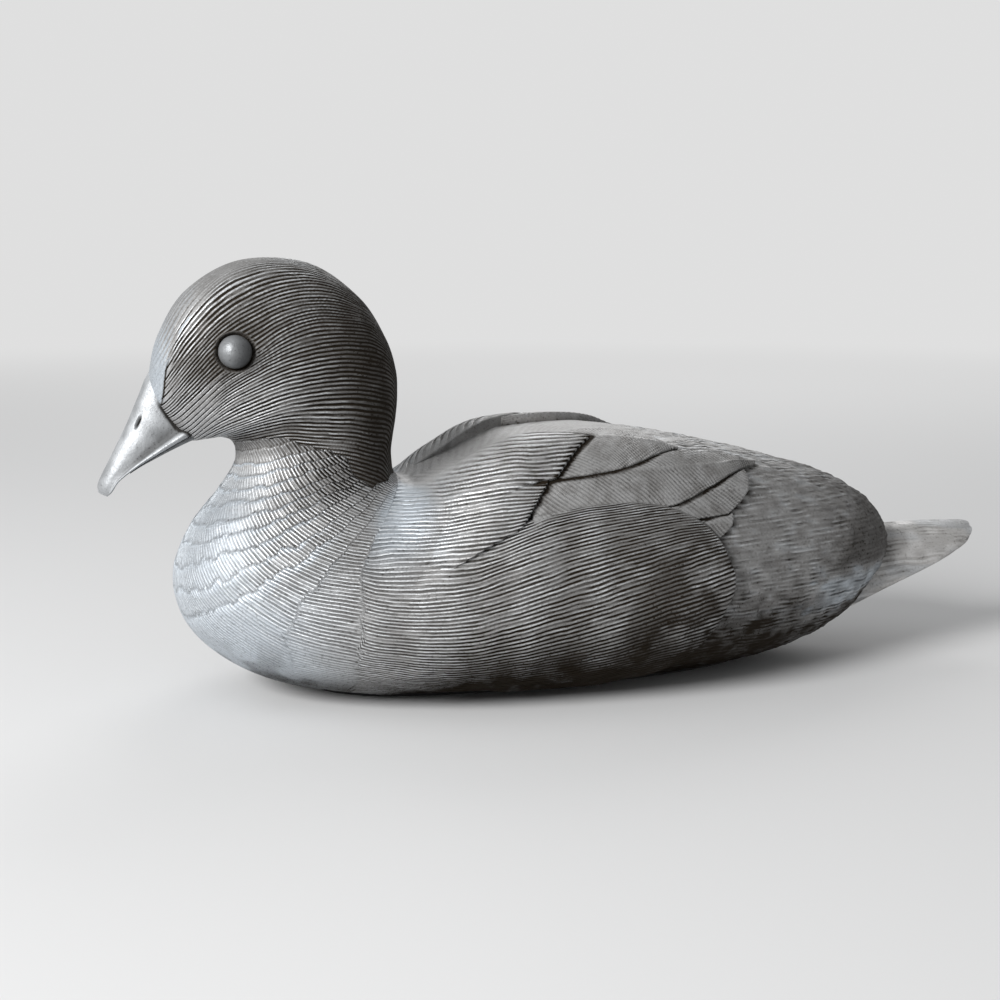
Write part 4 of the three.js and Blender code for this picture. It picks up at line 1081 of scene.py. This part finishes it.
def lower_bill(material):
    t = np.linspace(*LOWER_BILL_ENDS, LOWER_BILL_ROWS)
    ridge, lip, half = bill_lines(t)
    down = unit(lip - ridge)
    angle = np.linspace(0, 2 * np.pi, LOWER_BILL_COLUMNS, endpoint=False)
    across = -np.sign(np.cos(angle)) * np.abs(np.cos(angle)) ** LOWER_BILL_ROUNDNESS[0]
    low = np.maximum(np.sin(angle), 0) ** LOWER_BILL_ROUNDNESS[1]
    thick = LOWER_BILL_THICKNESS * (LOWER_BILL_TAPER[0] - LOWER_BILL_TAPER[1] * t)
    grid = lip[:, None] + down[:, None] * (LOWER_BILL_GAP + low[None] * thick[:, None])[..., None]
    grid[..., 1] = across[None] * (LOWER_BILL_SHARE * half)[:, None]
    # Painted shade: darker at its top, under the upper bill.
    carved = Carving(grid.shape[:-1], patina=0.6 - 0.3 * low)
    smooth_piece("lower_bill_smooth", "lower_bill", material, grid, carved)


# ---- Eyes ----
EYE_BULGE = 4
EYE_FOOT = 0.6
EYE_ROWS = 28
EYE_COLUMNS = 72


def eye(side_name, material):
    """A bead on its foot in the recess, with painted shade there and on its side away from the light."""
    at, out = eye_frame(SIDES[side_name])
    seat = at - EYE_RECESS * out
    right = unit(np.cross(out, (0, 0, 1)))
    up = np.cross(right, out)
    rise = np.linspace(0, np.pi / 2, EYE_ROWS)[:-1, None]
    turn = np.linspace(0, 2 * np.pi, EYE_COLUMNS, endpoint=False)[None]
    radial = right * np.cos(turn)[..., None] - up * np.sin(turn)[..., None]
    height = EYE_FOOT + (EYE_BULGE + EYE_RECESS - EYE_FOOT) * np.sin(rise)
    dome = seat + radial * (EYE_RADIUS * np.cos(rise))[..., None] + out * height[..., None]
    grid = np.concatenate([seat + radial * (0.9 * EYE_RADIUS) + out * EYE_FOOT / 2, dome])
    # Painted shade at the bead's foot and on its side away from the light.
    rim = np.insert(ease(rise, 0.5, 0), 0, 1, axis=0)
    x, _, z = np.moveaxis(grid - at, -1, 0)
    carved = Carving(x.shape, patina=0.5 * rim + 0.6 * ease(x - 0.5 * z, -2, 6))
    smooth_piece(f"{side_name}_eye_bead", f"{side_name}_eye", material, grid, carved)


# ---- Materials ----
PALE_METAL = 0.55  # the lightest grey of the metal between the ridges


class Graph:
    """The nodes of a material or world: makes nodes, links sockets and sets plain values."""

    def __init__(self, owner):
        owner.use_nodes = True
        self.owner, self.tree = owner, owner.node_tree

    def put(self, socket, value):
        if isinstance(value, bpy.types.NodeSocket):
            self.tree.links.new(value, socket)
        else:
            socket.default_value = value

    def node(self, kind, output=0, inputs=(), **settings):
        node = self.tree.nodes.new(kind)
        for name, value in settings.items():
            setattr(node, name, value)
        for name, value in dict(inputs).items():
            self.put(node.inputs[name], value)
        return node.outputs[output]

    def math(self, operation, *values, clamp=False):
        return self.node("ShaderNodeMath", inputs=enumerate(values), operation=operation, use_clamp=clamp)

    def plus(self, *values, clamp=False):
        return self.math("ADD", *values, clamp=clamp)

    def times(self, *values, clamp=False):
        return self.math("MULTIPLY", *values, clamp=clamp)

    def fit(self, value, low, high, to_low=0, to_high=1):
        """Maps low..high smoothly to to_low..to_high."""
        inputs = {"Value": value, "From Min": low, "From Max": high, "To Min": to_low, "To Max": to_high}
        return self.node("ShaderNodeMapRange", inputs=inputs, interpolation_type="SMOOTHSTEP")

    def noise(self, size, detail=2, stretch=(1, 1, 1), roughness=0.5):
        """Noise from 0 to 1 with features about size millimetres apart, stretched along the axes."""
        place = self.node("ShaderNodeTexCoord", output="Object")
        scale = tuple(1 / s for s in stretch)
        place = self.node("ShaderNodeMapping", inputs={"Vector": place, "Scale": scale})
        inputs = {"Vector": place, "Scale": 1 / (size * MM), "Detail": detail, "Roughness": roughness}
        return self.node("ShaderNodeTexNoise", output="Fac", inputs=inputs)

    def parts(self, attribute):
        """The three values that the mesh holds at each vertex under a name."""
        vector = self.node("ShaderNodeAttribute", output="Vector", attribute_name=attribute)
        return self.node("ShaderNodeSeparateXYZ", inputs={0: vector}).node.outputs

    def mix(self, share, low, high):
        """A colour between two others, in the sockets that a mix node has for colours."""
        return self.node("ShaderNodeMix", output=2, inputs={0: share, 6: low, 7: high}, data_type="RGBA")

    def swing(self, noise, reach):
        """Noise that goes up and down round 0."""
        return self.times(self.math("SUBTRACT", noise, 0.5), reach)

    def bump(self, height, depth):
        return self.node("ShaderNodeBump", output="Normal", inputs={"Height": height, "Distance": depth * MM})

    def surface(self, **values):
        """Sets the material's shader and returns the material."""
        shader = self.tree.nodes["Principled BSDF"]
        for name, value in values.items():
            self.put(shader.inputs[name.replace("_", " ").title().replace("Ior", "IOR")], value)
        return self.owner


def material_graph(name):
    """The nodes of a new material."""
    return Graph(bpy.data.materials.new(name))


def grey(value, warmth=0.0):
    """A neutral grey, a little brown with warmth above 0 and a little blue below."""
    return (value * (1 + warmth), value, value * (1 - warmth), 1)


def carved_pewter(name, dark, middle, light, flecks=0.5, lines=1.0, blue=0.0):
    """Cast pewter: black patina in the carved lines, rubbed bright on the ridges, finely pitted, with painted
    shade and painted highlight.
    """
    g = material_graph(name)
    phase, strength, soot = g.parts("carve")
    patina, rub, pale = g.parts("tone")
    wave = g.math("COSINE", g.times(phase, 2 * np.pi))
    grain = g.noise(0.8, detail=3, roughness=0.7)
    chip = g.noise(1.6, detail=3, roughness=0.6)
    cloud = g.noise(8, detail=4, roughness=0.6)
    ragged = g.plus(wave, g.swing(chip, 1.6))
    groove = g.times(g.fit(ragged, -0.15, 0.6), strength, clamp=True)
    ridge = g.times(g.fit(ragged, -0.2, -0.85), strength, clamp=True)

    # Bright ridges: rubbed metal, and painted highlight where rub carries it.
    worn = g.times(g.times(ridge, g.fit(rub, 0, 1, 0.15, 1)), g.fit(chip, 0.3, 0.55, 0.4, 1))
    speck = g.times(g.fit(grain, 0.56, 0.72), g.fit(rub, 0, 1, 0.3 * flecks, flecks))
    bright = g.plus(g.times(worn, lines), speck, clamp=True)
    stain_and_shade = g.times(patina, g.fit(cloud, 0.25, 0.7, 0.8, 1.2))
    pits = g.times(g.fit(grain, 0.46, 0.32), 0.35)
    filled = g.times(g.times(groove, lines), soot)
    shade = g.plus(filled, g.plus(stain_and_shade, pits), clamp=True)

    body = g.mix(g.fit(cloud, 0.3, 0.7), grey(middle * 0.8, 0.04), grey(middle * 1.2, 0.02))
    bare_and_lit = g.mix(g.fit(pale, 0.5, 0.9), grey(PALE_METAL), grey(PALE_METAL, -blue))
    lit = g.mix(bright, g.mix(pale, body, bare_and_lit), grey(light, -0.3 * blue))
    return g.surface(
        base_color=g.mix(shade, lit, grey(dark, 0.45)),
        metallic=g.fit(shade, 0, 1, 0.55, 0.1),
        roughness=g.plus(g.fit(shade, 0, 1, 0.47, 0.75), g.swing(grain, 0.3)),
        specular_ior_level=g.fit(shade, 0, 1, 0.4, 0.15),
        normal=g.bump(g.plus(g.times(groove, -0.8), g.times(grain, 0.4)), 0.3),
    )


def smooth_pewter(name, dark, middle, rough):
    """Polished cast pewter: fine pits and clouds, dark only where its patina and painted shade say so."""
    g = material_graph(name)
    patina = g.parts("tone")[0]
    grain = g.noise(0.7, detail=3, roughness=0.6)
    cloud = g.noise(5, detail=3)
    body = g.mix(g.fit(cloud, 0.3, 0.7), grey(middle * 0.82, -0.03), grey(middle * 1.18, -0.03))
    pits = g.times(g.fit(grain, 0.58, 0.76), 0.4)
    return g.surface(
        base_color=g.mix(g.plus(patina, pits, clamp=True), body, grey(dark, 0.1)),
        metallic=g.fit(patina, 0, 1, 0.5, 0.1),
        roughness=g.plus(g.fit(patina, 0, 1, rough, 0.75), g.swing(grain, 0.3)),
        specular_ior_level=g.fit(patina, 0, 1, 0.4, 0.2),
        normal=g.bump(grain, 0.12),
    )


def machined(name, colours, roughness, **streaks):
    """Bare metal with the fine streaks that a tool leaves."""
    g = material_graph(name)
    streak = g.noise(**streaks)
    return g.surface(
        base_color=g.mix(streak, *colours), metallic=1.0, roughness=g.fit(streak, 0.2, 0.8, *roughness),
        normal=g.bump(streak, 0.02),
    )


STEEL = (grey(0.3), grey(0.42))
BRASS = ((0.55, 0.38, 0.14, 1), (0.7, 0.5, 0.2, 1))


def felt():
    g = material_graph("felt_pad_cloth")
    fibre = g.noise(0.35, detail=5, roughness=0.7)
    fluff = g.times(g.plus(fibre, g.noise(3)), 0.5)
    return g.surface(
        base_color=g.mix(fluff, grey(0.02), grey(0.06)), roughness=0.95, sheen_weight=0.3,
        normal=g.bump(fibre, 0.25),
    )


# ---- The duck ----
def make_duck():
    body = carved_pewter("carved_pewter_body", dark=0.012, middle=0.23, light=0.75, blue=0.08)
    wing = carved_pewter("carved_pewter_wing", dark=0.008, middle=0.28, light=0.62, flecks=1.0, lines=0.8)
    tail = carved_pewter("carved_pewter_tail", dark=0.02, middle=0.68, light=0.8, lines=0.7, blue=0.02)
    smooth = smooth_pewter("smooth_pewter_bill", dark=0.015, middle=0.42, rough=0.55)
    bead = smooth_pewter("smooth_pewter_eye", dark=0.015, middle=0.24, rough=0.46)

    feathers = [FLANK, *SHOULDERS, *VANES]
    outlines = {name: [feather.outline(side) for feather in feathers] for name, side in SIDES.items()}
    all_edges = np.concatenate([edge for side_outlines in outlines.values() for edge in side_outlines])
    head_rows = np.concatenate([np.linspace(*part)[:-1] for part in HEAD_PARTS] + [[LAST]])
    for name, node, rows, columns, edges in (
        ("body_rear_carved", "body_shell", np.linspace(0, JOIN, REAR_ROWS), REAR_COLUMNS, all_edges),
        ("body_front_carved", "body_shell", np.linspace(JOIN, NECK, FRONT_ROWS), FRONT_COLUMNS, all_edges),
        ("head_carved", "head_shell", head_rows, HEAD_COLUMNS, None),
    ):
        carved_skin(rows, columns, edges).build(name, node, "carved_pewter", body)

    for name, side in SIDES.items():
        flank, shoulders, vanes = Shell(), Shell(), Shell()
        FLANK.add_to(flank, side, long_lines)
        for feather, over in zip(SHOULDERS, (None, outlines[name][1])):
            feather.add_to(shoulders, side, shoulder_lines, over)
        for number, vane in enumerate(VANES, start=1 + len(SHOULDERS)):
            vane.add_to(vanes, side, barbs, np.concatenate(outlines[name][:number]))
        flank.build(f"{name}_flank_feathers", "body_shell", "carved_pewter", body)
        shoulders.build(f"{name}_shoulder_feathers", "body_shell", "carved_pewter", body)
        vanes.build(f"{name}_wing_vanes", f"{name}_wing", "carved_pewter", wing)
        eye(name, bead)

    fan = Shell()
    for number in range(-TAIL_PAIRS, TAIL_PAIRS + 1):
        add_tail_feather(fan, number)
    fan.build("tail_fan_feathers", "tail_fan", "carved_pewter", tail)

    upper_bill(smooth)
    lower_bill(smooth)


def dress_nodes():
    """Gives the solids that stay in sight from below their materials."""
    steel = machined("base_plate_steel", STEEL, (0.3, 0.45), size=0.5, detail=4, stretch=(40, 1, 1))
    brass = machined("screw_brass", BRASS, (0.25, 0.4), size=0.4, detail=3)
    finishes = {"base_plate": steel, "felt_pad": felt()}
    finishes.update({name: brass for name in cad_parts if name.startswith("base_screw")})
    for name, material in finishes.items():
        materials = bpy.data.objects[name].data.materials
        materials.clear()
        materials.append(material)


# ---- Stage, light and camera ----
CAMERA_PLACE = (-134.67, -475.51, 136.99)
CAMERA_TURN = 15 * DEGREE  # from facing +Y towards +X
CAMERA_DIP = 9.5 * DEGREE
LENS = 57.6
SENSOR = 36
FLOOR_RADIUS = 3.0  # metres
FLOOR_FADE = (0.25, 1.6)  # metres from the duck over which the floor becomes the background
BACKGROUND = 0.74  # grey
FLOOR_COLOUR = 0.70
FLOOR_UNSEEN = 0.35  # grey of the floor for the light that it throws back on the duck
FLOOR_SIDES = 96
WORLD_LIGHT = 0.34
# name, place in metres, size, watts
LAMPS = [("key", (-1.0, -0.6, 0.65), 0.6, 21), ("back", (0.45, 1.0, 0.75), 0.8, 4)]
AIM = (0.0, 0.0, 0.06)


def make_floor():
    turn = np.linspace(0, 2 * np.pi, FLOOR_SIDES, endpoint=False)
    rim = np.stack([np.cos(turn), np.sin(turn), 0 * turn], -1) * FLOOR_RADIUS
    mesh = bpy.data.meshes.new("floor")
    mesh.from_pydata(rim.tolist(), [], [range(len(rim))])
    g = material_graph("floor_paper")
    ray = g.node("ShaderNodeLightPath").node.outputs
    seen = g.math("MAXIMUM", ray["Is Camera Ray"], ray["Is Glossy Ray"])
    place = g.node("ShaderNodeTexCoord", output="Object")
    distance = g.node("ShaderNodeVectorMath", output="Value", inputs={0: place}, operation="LENGTH")
    far = g.times(g.fit(distance, *FLOOR_FADE), seen)
    colour = g.mix(seen, grey(FLOOR_UNSEEN), grey(FLOOR_COLOUR))
    mesh.materials.append(g.surface(base_color=colour, roughness=0.9))
    paper = g.tree.nodes["Principled BSDF"].outputs[0]
    glow = g.node("ShaderNodeEmission", inputs={"Color": grey(BACKGROUND), "Strength": 1.0})
    blend = g.node("ShaderNodeMixShader", inputs={0: far, 1: paper, 2: glow})
    g.put(g.tree.nodes["Material Output"].inputs["Surface"], blend)
    in_scene("floor", mesh)


def make_world():
    world = bpy.data.worlds.new("studio")
    bpy.context.scene.world = world
    g = Graph(world)
    g.tree.nodes.clear()
    seen = g.node("ShaderNodeBackground", inputs={"Color": grey(BACKGROUND), "Strength": 1.0})
    light = g.node("ShaderNodeBackground", inputs={"Color": grey(1.0, -0.01), "Strength": WORLD_LIGHT})
    camera_ray = g.node("ShaderNodeLightPath", output="Is Camera Ray")
    blend = g.node("ShaderNodeMixShader", inputs={0: camera_ray, 1: light, 2: seen})
    g.put(g.tree.nodes.new("ShaderNodeOutputWorld").inputs["Surface"], blend)


def make_lamps():
    for name, place, size, power in LAMPS:
        lamp = bpy.data.lights.new(name, "AREA")
        lamp.shape, lamp.size, lamp.energy = "DISK", size, power
        holder = in_scene(name, lamp)
        holder.location = place
        holder.rotation_euler = (Vector(AIM) - Vector(place)).to_track_quat("-Z", "Y").to_euler()


def make_camera():
    camera = in_scene("camera", bpy.data.cameras.new("camera"))
    camera.location = Vector(CAMERA_PLACE) * MM
    camera.rotation_euler = (np.pi / 2 - CAMERA_DIP, 0, -CAMERA_TURN)
    camera.data.lens = LENS
    camera.data.sensor_width = SENSOR
    camera.data.clip_start = 0.01  # metres
    bpy.context.scene.camera = camera


make_camera()
make_duck()
dress_nodes()
make_floor()
make_world()
make_lamps()
bpy.context.scene.view_settings.view_transform = "Standard"
